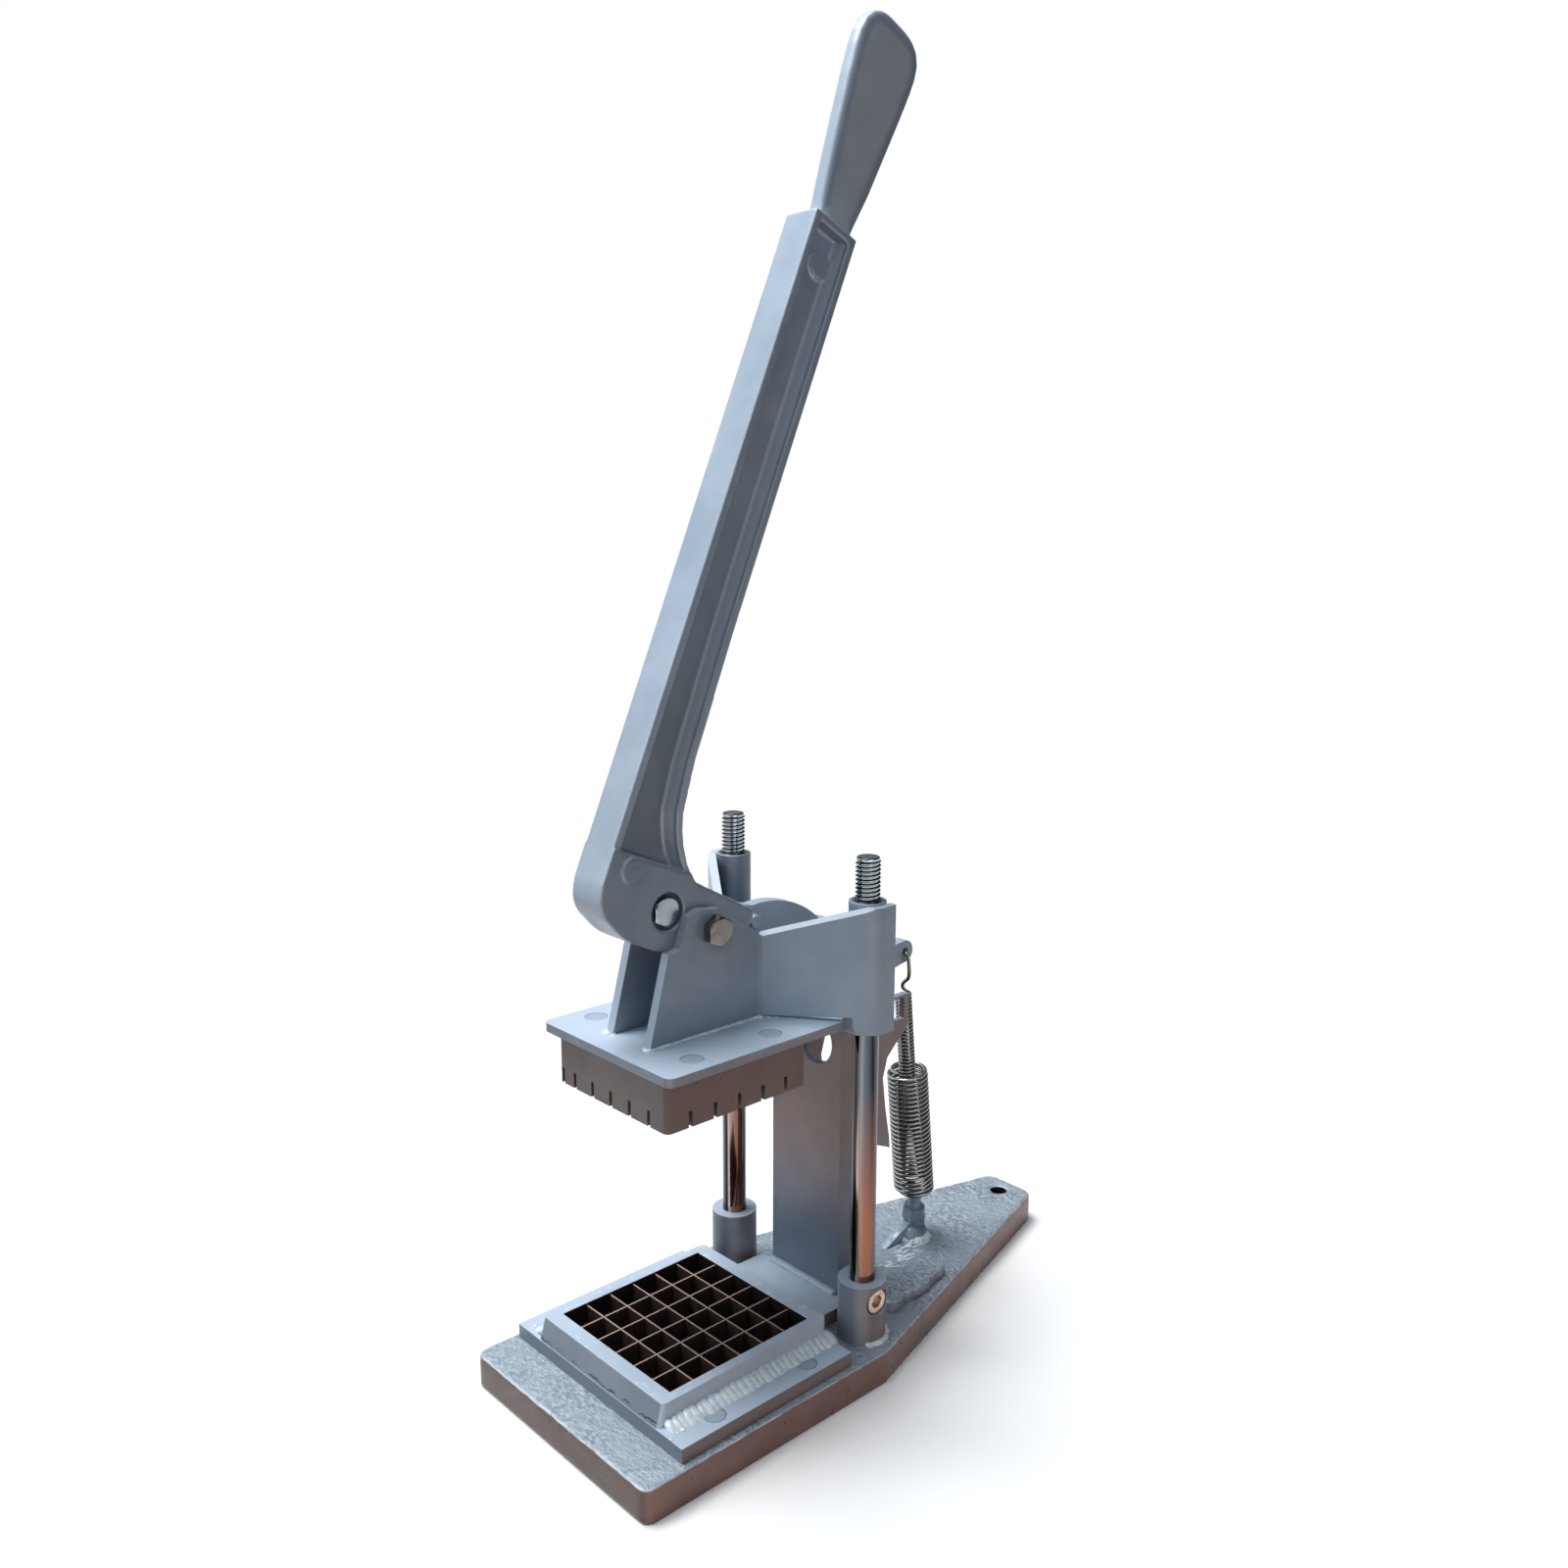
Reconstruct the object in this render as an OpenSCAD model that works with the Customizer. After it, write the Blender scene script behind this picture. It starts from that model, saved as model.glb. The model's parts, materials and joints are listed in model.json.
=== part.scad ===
// French fry cutter: a hand lever that drives a slotted pusher block down two
// guide rods and through a square grid of blades.
// Millimetres. X is across the machine, Y runs from the front edge to the tail, Z is up.
// Inside the file Y = 0 is the middle of the blade grid and Z = 0 is the top of the base.
// in_part() moves every piece so that the origin lies under the middle of the base.

/* [Base casting] */
// Width of the base plate
base_w = 136; // [124:1:160]
// Thickness of the base plate
base_t = 17; // [12:0.5:24]
// Distance from the middle of the blade grid to the front edge
base_front = 75.5; // [68:0.5:100]
// Distance from the middle of the blade grid to where the tail begins to taper
taper_start = 71; // [60:1:90]
// Distance from the middle of the blade grid to the end of the tail
tail_reach = 255; // [235:1:320]
// Width of the tail at its end
tail_w = 32; // [26:1:60]
// Radius of the tail corners
tail_r = 8; // [4:0.5:12]
// Radius of the front corners
front_r = 5; // [2:0.5:12]
// Diameter of the bench screw hole in the tail
tail_hole_d = 10; // [6:0.5:12]
// Distance from the tail's end to the middle of its hole
tail_hole_inset = 12; // [10:0.5:20]
// Height of the raised cast pad behind the right rod socket
pad_h = 6; // [2:0.5:8]

/* [Blade grid] */
// Distance from one blade to the next, which is the size of a chip
cell = 14; // [12:0.5:14]
// Number of cells along each side
cells = 6; // [4:1:6]
// Thickness of a blade
blade_t = 0.8; // [0.6:0.1:1.2]
// Height of a blade
blade_h = 22; // [20:0.5:24]
// Depth of the blade tops below the top of their frame
blade_drop = 1.3; // [0.5:0.1:3]
// Height of the blade frame above its holder plate
frame_h = 10.8; // [9:0.2:14]
// Wall of the blade frame at its sides
frame_side_wall = 5.3; // [4:0.1:7]
// Wall of the blade frame at its front and back
frame_end_wall = 8; // [5:0.1:9]
// Depth that a blade end is let into the frame's wall
blade_seat = 2; // [1:0.5:3]

/* [Holder plate] */
// Thickness of the plate that holds the blade frame
holder_t = 7; // [5:0.5:9]
// Width of the holder plate's ledge beside the blade frame
holder_ledge = 17.2; // [15:0.1:18]
// Width of the holder plate's lip in front of the blade frame
holder_lip = 3.3; // [1:0.1:6]
// Width of the holder plate's tongue to the column
tongue_w = 66; // [52:1:70]
// Diameter of the flush screw heads in the holder plate
flush_d = 10.5; // [8:0.5:11]
// Width of a fillet weld
weld_w = 6; // [3:0.5:7]

/* [Guide rods] */
// Diameter of a guide rod
rod_d = 12.7; // [10:0.1:14]
// Distance from one guide rod to the other
rod_span = 96.8; // [92:0.2:104]
// Distance from the middle of the blade grid back to the rods
rod_y = 73.1; // [73:0.1:74]
// Height of the right rod above the base
rod_h = 244; // [240:1:260]
// Further height of the left rod and its sleeve
left_rise = 6; // [0:0.5:8]
// Length of the thread at a rod's top
thread_l = 21; // [10:0.5:26]
// Pitch of the thread at a rod's top
thread_pitch = 2; // [1.5:0.1:2.5]
// Outer diameter of a rod socket
socket_d = 24; // [20:0.5:26]
// Height of a rod socket
socket_h = 30.3; // [24:0.1:32]
// Diameter of a socket's set screw
set_screw_d = 12; // [8:0.5:12]
// Height of the set screw above the base
set_screw_z = 21.3; // [14:0.1:22]

/* [Column] */
// Width of the column
column_w = 50; // [44:1:60]
// Height of the column
column_h = 158; // [150:1:160]
// Depth of the column's channel
column_depth = 10; // [8:0.5:12]
// Wall of the column
column_wall = 4.5; // [3.5:0.5:6]
// Gap from the middle of the blade grid to the column's front face
column_y = 80; // [80:0.5:84]
// Diameter of the hole in the column's front
column_hole_d = 24; // [12:1:28]
// Distance from the column's top down to the middle of that hole
column_hole_drop = 18; // [15:1:38]
// Sideways offset of that hole
column_hole_x = 6.4; // [0:0.1:8]
// Thickness of a fork plate
fork_t = 4; // [3:0.5:5]

/* [Pusher] */
// Height of the pusher plate's top above the base, with the lever up
plate_top = 166.5; // [164:0.5:176]
// Thickness of the pusher plate
plate_t = 4.3; // [3.5:0.1:6]
// Width of the pusher plate
plate_w = 96; // [90:1:110]
// Distance from the middle of the blade grid to the pusher plate's front edge
plate_front = 45; // [43:1:50]
// Height of the pusher block under its plate
block_h = 24.2; // [20:0.1:28]
// Side of the pusher block
block_w = 82; // [78:0.5:82]
// Depth of the slots that let the blades into the pusher block
slot_depth = 7.5; // [7:0.1:10]
// Width of those slots
slot_w = 2; // [1.6:0.1:3]
// Distance that the pusher travels down
stroke = 128; // [100:1:128]

/* [Side plates] */
// Thickness of a clevis side plate
side_t = 5; // [4:0.5:6]
// Height of the lever's pivot above the pusher plate
pivot_rise = 48; // [46:0.5:54]
// Distance from the middle of the blade grid back to the lever's pivot
pivot_y = 6.5; // [4:0.5:9]
// Thickness of the arm that wraps a sleeve
arm_t = 4; // [3:0.5:4.5]
// Outer diameter of a sleeve
sleeve_d = 18; // [17:0.2:19]
// Outer diameter of the bush inside a sleeve
bush_d = 15.4; // [14.5:0.1:16]
// Height of the right sleeve's top above the base, with the lever up
sleeve_top = 223; // [218:1:232]
// Height of both sleeves' lower ends above the base, with the lever up
sleeve_foot = 160.5; // [159:0.5:166]

/* [Lever] */
// Lean of the lever from upright, with the lever up
lever_lean = 23.1; // [22.5:0.1:23.5]
// Length of the lever's beam from the pivot to the handle
beam_l = 322; // [240:1:360]
// Distance from the pivot to the lever's front face
beam_offset = 63.9; // [63:0.1:65]
// Depth of the beam from its front face to its rear face
beam_depth = 27.5; // [24:0.5:30]
// Width of the beam
beam_w = 20.4; // [16:0.2:22]
// Width of the lever's foot, between the side plates
foot_w = 22; // [20:0.2:24]
// Wall of the beam's front and rear flanges
flange_t = 4; // [3:0.5:6]
// Wall of the web between the flanges
web_t = 6; // [4:0.5:8]
// Length of the paddle handle
handle_l = 108; // [90:1:140]
// Width of the paddle at its end
handle_w = 38; // [30:1:44]
// Width of the paddle at its neck
neck_w = 19; // [14:1:24]
// Thickness of the paddle
handle_t = 10; // [8:0.5:14]

/* [Tail plate] */
// Thickness of the steel plate behind the lever
tail_t = 7; // [5:0.5:8]
// Radius of the tail plate's arched back
arch_r = 55; // [54:0.5:56]
// Diameter of the fulcrum pin
fulcrum_d = 8; // [6:0.5:9]
// Diameter of the pin at the lever's nose
nose_pin_d = 6.4; // [4:0.2:8]

/* [Springs] */
// Wire of the large spring
large_wire = 2; // [1.8:0.1:2.1]
// Outer diameter of the large spring
large_d = 23; // [18:0.5:24]
// Number of turns of the large spring
large_turns = 27; // [16:1:28]
// Pitch of the large spring
large_pitch = 2.65; // [2.6:0.05:2.8]
// Wire of the small spring
small_wire = 1.5; // [1.2:0.1:1.5]
// Outer diameter of the small spring
small_d = 9.6; // [7:0.1:11]
// Number of turns of the small spring
small_turns = 24; // [16:1:25]
// Pitch of the small spring
small_pitch = 2.1; // [2.05:0.05:2.2]
// Diameter of the spring post on the base
post_d = 7.5; // [6:0.5:9]

/* [Fasteners] */
// Diameter of the pivot bolt and the tail bolt
bolt_d = 8; // [6:0.5:8]
// Width of the bolt heads and nuts across their flats
bolt_af = 13; // [10:0.5:13]
// Height of the bolt heads and nuts
bolt_k = 5.3; // [4:0.1:6]
// Thickness of a washer
washer_t = 1.6; // [1:0.1:2]

/* [Fits] */
// Radial clearance of a turning or sliding shaft
run_gap = 0.08; // [0.02:0.01:0.1]
// Gap between faces that pass each other
pass_gap = 0.4; // [0.3:0.05:0.6]
// Gap round a part that sits in a recess of the same body
seat_gap = 0.1; // [0.05:0.05:0.3]

/* [Hidden] */
$fn = 64;

over = 1;
aperture = cell * cells;
base_mid_y = (tail_reach - base_front) / 2;
frame_top = holder_t + frame_h;
blade_top = frame_top - blade_drop;
frame_w = aperture + 2 * frame_side_wall;
frame_l = aperture + 2 * frame_end_wall;
holder_w = frame_w + 2 * holder_ledge;
rod_x = rod_span / 2;
rod_r = rod_d / 2;
socket_r = socket_d / 2;
sleeve_r = sleeve_d / 2;
column_back = column_y + column_wall;
plate_bottom = plate_top - plate_t;
block_bottom = plate_bottom - block_h;
pivot_z = plate_top + pivot_rise;
side_in = foot_w / 2 + pass_gap;
side_out = side_in + side_t;
wrap_r = sleeve_r + seat_gap + arm_t;
rod_root_d = rod_d - 1.2 * thread_pitch;

// Places on the tail plate, from the lever's pivot, as shares of the arch radius
tail_bolt_share = [-0.4018, 0.2091];
nose_pin_share = [0.578, -0.0691];
arch_centre_share = [0.7364, -0.9455];
arch_end_share = [1.4818, -0.3636];
neck_top_share = [1.8273, -0.4909];
neck_back_share = [2.0818, -0.8636];
fulcrum_share = [1.7545, -1.1636];
eye_share = [2.6091, -0.7909];
function from_pivot(share) = [pivot_y, pivot_z] + share * arch_r;
tail_bolt_at = from_pivot(tail_bolt_share);
nose_pin_at = from_pivot(nose_pin_share);
arch_centre = from_pivot(arch_centre_share);
arch_end = from_pivot(arch_end_share);
neck_top = from_pivot(neck_top_share);
neck_back = from_pivot(neck_back_share);
fulcrum_at = from_pivot(fulcrum_share);
eye_at = from_pivot(eye_share);

// The spring line runs from a pin through the post to the eye at the tail's end
post_y = 165.8;
post_pin_z = 21;
post_at = [post_y, post_pin_z];
spring_vector = eye_at - post_at;
spring_l = norm(spring_vector);
spring_tilt = atan2(-spring_vector[0], spring_vector[1]);

module in_part() { translate([0, -base_mid_y, base_t]) children(); }

// Turns a drawing in Y and Z into a solid that is centred on X
module across_x(w) { rotate([90, 0, 90]) linear_extrude(w, center = true) children(); }

module x_cylinder(d, l, at) {
    translate([0, at[0], at[1]]) rotate([0, 90, 0]) cylinder(d = d, h = l, center = true);
}

module mirrored_x() {
    children();
    mirror([1, 0, 0]) children();
}

module rounded_box_2d(w, l, r) {
    offset(r = r, $fn = 32) square([w - 2 * r, l - 2 * r], center = true);
}

// Two discs and the bar that is tangent to both
module link_2d(a, ra, b, rb) {
    hull() {
        translate(a) circle(r = ra, $fn = 48);
        translate(b) circle(r = rb, $fn = 48);
    }
}

module hexagon(af, h) { cylinder(d = af / cos(30), h = h, $fn = 6); }

// Base body

module base_outline() {
    half = base_w / 2;
    end = tail_w / 2;
    offset(r = tail_r, $fn = 32) offset(delta = -tail_r)
        polygon([[-half, 0], [half, 0], [half, taper_start],
                 [end, tail_reach], [-end, tail_reach], [-half, taper_start]]);
    translate([0, -base_front / 2 + front_r / 2]) rounded_box_2d(base_w, base_front + front_r, front_r);
    translate([-half, 0]) square([base_w, tail_r]);
}

// A stepped pad that stiffens the casting behind the right socket
pad_shares = [[0.06, 0.05], [0.95, 0.05], [1, 0.13], [0.98, 0.22], [0.86, 0.3], [0.93, 0.34],
              [0.93, 0.62], [0.82, 0.66], [0.76, 0.9], [0.62, 1], [0.2, 1], [0.06, 0.9]];
pad_size = [22, 54];
pad_at = [26, 93];

module base_plate() {
    color("lightsteelblue") in_part() {
        difference() {
            translate([0, 0, -base_t]) linear_extrude(base_t) base_outline();
            translate([0, 0, -base_t / 2]) cube([aperture, aperture, base_t + 2 * over], center = true);
            translate([0, tail_reach - tail_hole_inset, -base_t - over])
                cylinder(d = tail_hole_d, h = base_t + 2 * over);
        }
        translate(pad_at) linear_extrude(pad_h)
            polygon([for (s = pad_shares) [s[0] * pad_size[0], s[1] * pad_size[1]]]);
    }
}

holder_screw_x = (frame_w + holder_w) / 4;
holder_screw_shares = [-2, 2];
module holder_screw_places() {
    mirrored_x() for (s = holder_screw_shares) translate([holder_screw_x, s * cell]) children();
}

module holder_plate() {
    front = -frame_l / 2 - holder_lip;
    tongue_l = column_y - frame_l / 2;
    color("silver") in_part() difference() {
        linear_extrude(holder_t) {
            translate([-holder_w / 2, front]) square([holder_w, frame_l + holder_lip]);
            translate([-tongue_w / 2, frame_l / 2 - over]) square([tongue_w, tongue_l + over]);
        }
        translate([-aperture / 2, -aperture / 2, -over]) cube([aperture, aperture, holder_t + 2 * over]);
        holder_screw_places() translate([0, 0, -over])
            cylinder(d = flush_d + 2 * seat_gap, h = holder_t + 2 * over);
        mirrored_x() translate([rod_x, rod_y, -over])
            cylinder(r = socket_r + pass_gap, h = holder_t + 2 * over);
    }
}

module holder_screws() {
    drive_deep = holder_t / 3;
    color("gray") in_part() holder_screw_places() difference() {
        cylinder(d = flush_d, h = holder_t);
        translate([0, 0, holder_t - drive_deep / 4]) difference() {
            cylinder(d = flush_d + over, h = drive_deep);
            translate([0, 0, -over]) cylinder(d = flush_d - drive_deep / 4, h = drive_deep + 2 * over);
        }
    }
}

blade_places = [for (i = [1 : cells - 1]) (i - cells / 2) * cell];

module blade_frame() {
    color("lightsteelblue") in_part() translate([0, 0, holder_t]) difference() {
        linear_extrude(frame_h) rounded_box_2d(frame_w, frame_l, frame_side_wall / 2);
        translate([-aperture / 2, -aperture / 2, -over]) cube([aperture, aperture, frame_h + 2 * over]);
        for (p = blade_places) {
            seat = aperture + 2 * (blade_seat + seat_gap);
            gap_w = blade_t + 2 * seat_gap;
            translate([p - gap_w / 2, -seat / 2, -over]) cube([gap_w, seat, frame_h - blade_drop + over]);
            translate([-seat / 2, p - gap_w / 2, -over]) cube([seat, gap_w, frame_h - blade_drop + over]);
        }
    }
}

// One thin blade; the ends above the holder plate are longer and sit in the frame
module blade(cut_from_top) {
    long = aperture + 2 * blade_seat;
    short = aperture - 2 * seat_gap;
    low = blade_h - frame_h + blade_drop;
    half = blade_h / 2 + seat_gap;
    difference() {
        union() {
            translate([-short / 2, -blade_t / 2, 0]) cube([short, blade_t, blade_h]);
            translate([-long / 2, -blade_t / 2, low + seat_gap])
                cube([long, blade_t, blade_h - low - seat_gap]);
        }
        for (p = blade_places)
            translate([p - blade_t / 2 - seat_gap, -blade_t, cut_from_top ? blade_h - half : -over])
                cube([blade_t + 2 * seat_gap, 2 * blade_t, half + over]);
    }
}

module blades_across() {
    color("lightgray") in_part() translate([0, 0, blade_top - blade_h])
        for (p = blade_places) translate([0, p, 0]) blade(true);
}

module blades_along() {
    color("lightgray") in_part() translate([0, 0, blade_top - blade_h])
        for (p = blade_places) translate([p, 0, 0]) rotate([0, 0, 90]) blade(false);
}

// A three-cornered bead along X, from one end to the other, in a corner that faces front or back
module bead(l, w, h) {
    rotate([90, 0, 90]) linear_extrude(l, center = true) polygon([[0, 0], [w, 0], [w / 3, h / 2], [0, h]]);
}

module frame_weld() {
    bead_h = frame_h * 0.62;
    color("silver") in_part() mirrored_x()
        translate([frame_w / 2, 0, holder_t]) rotate([0, 0, -90]) bead(frame_l - 2 * weld_w, weld_w, bead_h);
}

module socket(side, turn) {
    color("lightsteelblue") in_part() translate([side * rod_x, rod_y, 0]) difference() {
        cylinder(r = socket_r, h = socket_h);
        translate([0, 0, -over]) cylinder(r = rod_r + run_gap, h = socket_h + 2 * over);
        translate([0, 0, set_screw_z]) rotate([0, 90, turn])
            cylinder(d = set_screw_d + 2 * seat_gap, h = socket_r + over);
    }
}
module socket_left() { socket(-1, 180); }
module socket_right() { socket(1, 0); }

module set_screw() {
    drive_af = set_screw_d / 2;
    tip = rod_r + seat_gap;
    l = sqrt(socket_r * socket_r - set_screw_d * set_screw_d / 4) - tip;
    translate([tip, 0, 0]) rotate([0, 90, 0]) difference() {
        cylinder(d = set_screw_d, h = l);
        translate([0, 0, l / 2]) hexagon(drive_af, l);
    }
}
module set_screws() {
    color("dimgray") in_part() mirrored_x() translate([rod_x, rod_y, set_screw_z]) set_screw();
}

// A thread drawn as even rings on the rod's turned-down end
module guide_rod(side, rise) {
    top = rod_h + rise;
    root = top - thread_l;
    ring_h = thread_pitch / 2;
    rings = floor(thread_l / thread_pitch) - 1;
    crest_d = rod_d - thread_pitch / 2;
    color("gainsboro") in_part() translate([side * rod_x, rod_y, 0]) {
        cylinder(d = rod_d, h = root);
        cylinder(d = rod_root_d, h = top - thread_pitch / 2);
        for (i = [0 : rings]) translate([0, 0, root + i * thread_pitch + ring_h / 2])
            cylinder(d = crest_d, h = ring_h);
        translate([0, 0, top - thread_pitch / 2])
            cylinder(d1 = rod_root_d, d2 = rod_root_d - thread_pitch / 2, h = thread_pitch / 2);
    }
}
module guide_rod_left() { guide_rod(-1, left_rise); }
module guide_rod_right() { guide_rod(1, 0); }

module column() {
    half = column_w / 2;
    color("lightsteelblue") in_part() difference() {
        linear_extrude(column_h) polygon([[-half, column_y], [half, column_y],
            [half, column_y + column_depth], [half - column_wall, column_y + column_depth],
            [half - column_wall, column_back], [column_wall - half, column_back],
            [column_wall - half, column_y + column_depth], [-half, column_y + column_depth]]);
        translate([column_hole_x, column_y - over, column_h - column_hole_drop]) rotate([-90, 0, 0])
            cylinder(d = column_hole_d, h = column_wall + 2 * over);
    }
}

module column_weld() {
    color("silver") in_part() {
        translate([0, column_y, holder_t]) mirror([0, 1, 0]) bead(column_w, weld_w, weld_w);
        translate([column_w / 4, column_back, 0]) linear_extrude(holder_t) square([weld_w, weld_w]);
    }
}

// While the pusher goes down, the lever turns until the fulcrum pin is back at its first height,
// and the pin slides to the rear and forward again in its slots
fulcrum_arm = fulcrum_at - [pivot_y, pivot_z];
fulcrum_lean = atan2(fulcrum_arm[1], fulcrum_arm[0]);
lever_turn = asin((fulcrum_arm[1] + stroke) / norm(fulcrum_arm)) - fulcrum_lean;
way_steps = 24;
fulcrum_way = [for (i = [0 : way_steps]) let (s = i / way_steps, a = fulcrum_lean + lever_turn * s)
    [pivot_y + norm(fulcrum_arm) * cos(a), pivot_z + norm(fulcrum_arm) * sin(a) - stroke * s]];
pin_room = fulcrum_d / 2 + pass_gap;
slot_from = min([for (p = fulcrum_way) p[0]]) - pin_room;
slot_to = max([for (p = fulcrum_way) p[0]]) + pin_room;
slot_low = min([for (p = fulcrum_way) p[1]]) - pin_room;
slot_high = max([for (p = fulcrum_way) p[1]]) + pin_room;
// A fork plate stands behind each side of the column. Its rear edge: places behind the column
// and heights, as shares of the plate's reach and height
slot_wall = 3;
slot_rim = 1.6;
column_end = column_y + column_depth;
fork_reach = slot_to - column_end + slot_wall;
fork_top = slot_high + slot_rim;
fork_x = (column_w - column_wall) / 2;
fork_edge_shares = [[1, 1], [1, 0.89], [0.62, 0.8], [0.545, 0.735], [0.605, 0.62], [0.68, 0.525],
                    [0.7, 0.48], [0.48, 0.505], [0, 0.56]];

module fork_plate(side) {
    color("slategray") in_part() translate([side * fork_x, 0, 0]) difference() {
        across_x(fork_t) polygon(concat([[column_end, fork_top]],
            [for (s = fork_edge_shares) [column_end + s[0] * fork_reach, s[1] * fork_top]]));
        across_x(fork_t + 2 * over) translate([slot_from, slot_low])
            square([slot_to - slot_from, slot_high - slot_low]);
    }
}
module fork_plate_left() { fork_plate(-1); }
module fork_plate_right() { fork_plate(1); }

// The post stands on a welded foot; a rough rib runs from the foot to the column's side
rib_t = 5;
module spring_post() {
    foot_h = 13;
    foot_side = 10;
    rib_h = 9;
    rib_l = 26;
    color("slategray") in_part() {
        translate([-foot_side / 2, post_at[0] - post_d / 2, 0]) cube([foot_side, post_d, foot_h]);
        translate([0, post_at[0], 0]) cylinder(d = post_d, h = post_at[1] + post_d);
        across_x(rib_t) polygon([[post_at[0] - post_d / 2, 0], [post_at[0] - post_d / 2, rib_h],
            [post_at[0] - rib_l / 2, rib_h * 0.7], [post_at[0] - rib_l, 0]]);
    }
}

// Springs: tubes swept along computed paths

function unit(v) = v / norm(v);
function turned(v, k, a) = v * cos(a) + cross(k, v) * sin(a) + k * (k * v) * (1 - cos(a));
function tangent(p, i) = unit(p[min(i + 1, len(p) - 1)] - p[max(i - 1, 0)]);
function carried(n, t0, t1) = let (k = cross(t0, t1), s = norm(k))
    s < 1e-6 ? n : turned(n, k / s, atan2(s, t0 * t1));
function normals(p, n0) = [for (i = 0, n = n0; i < len(p);
    n = i + 1 < len(p) ? carried(n, tangent(p, i), tangent(p, i + 1)) : n, i = i + 1) n];

tube_sides = 6;
module tube(p, r) {
    t0 = tangent(p, 0);
    n0 = unit(cross(t0, abs(t0[0]) < 0.8 ? [1, 0, 0] : [0, 1, 0]));
    ns = normals(p, n0);
    count = len(p);
    pts = [for (i = [0 : count - 1]) let (t = tangent(p, i), b = cross(t, ns[i]))
        for (k = [0 : tube_sides - 1]) let (a = 360 * k / tube_sides)
            p[i] + r * (ns[i] * cos(a) + b * sin(a))];
    sides = [for (i = [0 : count - 2]) for (k = [0 : tube_sides - 1])
        let (a = i * tube_sides + k, b = i * tube_sides + (k + 1) % tube_sides)
        for (f = [[a, a + tube_sides, b], [b, a + tube_sides, b + tube_sides]]) f];
    cap0 = [for (k = [1 : tube_sides - 2]) [0, k, k + 1]];
    last = (count - 1) * tube_sides;
    cap1 = [for (k = [1 : tube_sides - 2]) [last, last + k + 1, last + k]];
    polyhedron(points = pts, faces = concat(sides, cap0, cap1));
}

eye_r = 6;
eye_hole_d = 4;
rings_a_turn = 8;
// A helix about Z; the radius may change evenly along it
function helix(r0, r1, z0, pitch, turns, start) = [for (i = [0 : turns * rings_a_turn])
    let (s = i / (turns * rings_a_turn), a = start + 360 * i / rings_a_turn, r = r0 + (r1 - r0) * s)
    [r * cos(a), r * sin(a), z0 + pitch * i / rings_a_turn]];
// Least distance between stretches of one wire that lie half a turn or more apart, less its width
function least_gap(p, wire) = min([for (i = [0 : len(p) - 1])
    for (j = [i + rings_a_turn / 2 + 1 : 1 : len(p) - 1]) norm(p[i] - p[j])]) - wire;

large_r = (large_d - large_wire) / 2;
small_r = (small_d - small_wire) / 2;
large_from = post_d;
large_to = large_from + large_turns * large_pitch;
small_from = large_to - 2 * small_pitch;
small_to = small_from + small_turns * small_pitch;
end_turn = 0.75;
// A turn whose radius grows or shrinks evenly, for the ends of the large spring
function spiral(r0, r1, z0, turns) = [for (i = [0 : turns * rings_a_turn])
    let (a = 90 + 360 * i / rings_a_turn, r = r0 + (r1 - r0) * i / (turns * rings_a_turn))
    [r * cos(a), r * sin(a), z0 + large_pitch * i / rings_a_turn]];
// The large spring's lower end starts square to the post, and its upper end closes in
post_r = post_d / 2 + seat_gap;
large_path = concat(
    [[-large_wire, post_r + large_wire / 2, large_from - end_turn * large_pitch]],
    spiral(post_r + large_wire / 2, large_r, large_from - end_turn * large_pitch, end_turn),
    [for (i = [1 : large_turns * rings_a_turn]) let (a = 90 + 360 * (end_turn + i / rings_a_turn))
        [large_r * cos(a), large_r * sin(a), large_from + large_pitch * i / rings_a_turn]],
    [for (i = [1 : end_turn * rings_a_turn]) let (s = i / (end_turn * rings_a_turn),
        a = 90 + 360 * (end_turn + i / rings_a_turn), r = large_r + (small_r + 2 * large_wire - large_r) * s)
        [r * cos(a), r * sin(a), large_to + large_pitch * i / rings_a_turn]]);
// The small spring's wire runs up its middle, round one face of the tail and through its eye
eye_wire_z = spring_l - eye_hole_d / 2 + small_wire / 2 + seat_gap;
eye_side = tail_t / 2 + 1.4 * small_wire;
bend_r = 1.5 * small_wire;
small_path = concat(
    helix(small_r, small_r, small_from, small_pitch, small_turns, 90),
    [[0, small_r * 0.5, small_to + small_wire], [0, 0, small_to + 2.5 * small_wire],
     [0, 0, small_to + 4 * small_wire], [eye_side * 0.4, 0, eye_wire_z - eye_r - 2 * small_wire],
     [eye_side, 0, eye_wire_z - eye_r * 0.8], [eye_side, 0, eye_wire_z - bend_r],
     [eye_side - bend_r * 0.3, 0, eye_wire_z - bend_r * 0.3], [eye_side - bend_r, 0, eye_wire_z],
     [bend_r - eye_side, 0, eye_wire_z], [bend_r * 0.3 - eye_side, 0, eye_wire_z - bend_r * 0.3],
     [-eye_side, 0, eye_wire_z - bend_r], [-eye_side, 0, eye_wire_z - 2.5 * bend_r]]);

module on_spring_line() {
    translate([0, post_at[0], post_at[1]]) rotate([spring_tilt, 0, 0]) children();
}
module large_spring() { color("gainsboro") in_part() on_spring_line() tube(large_path, large_wire / 2); }
module small_spring() { color("gainsboro") in_part() on_spring_line() tube(small_path, small_wire / 2); }

// Carriage body

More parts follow.
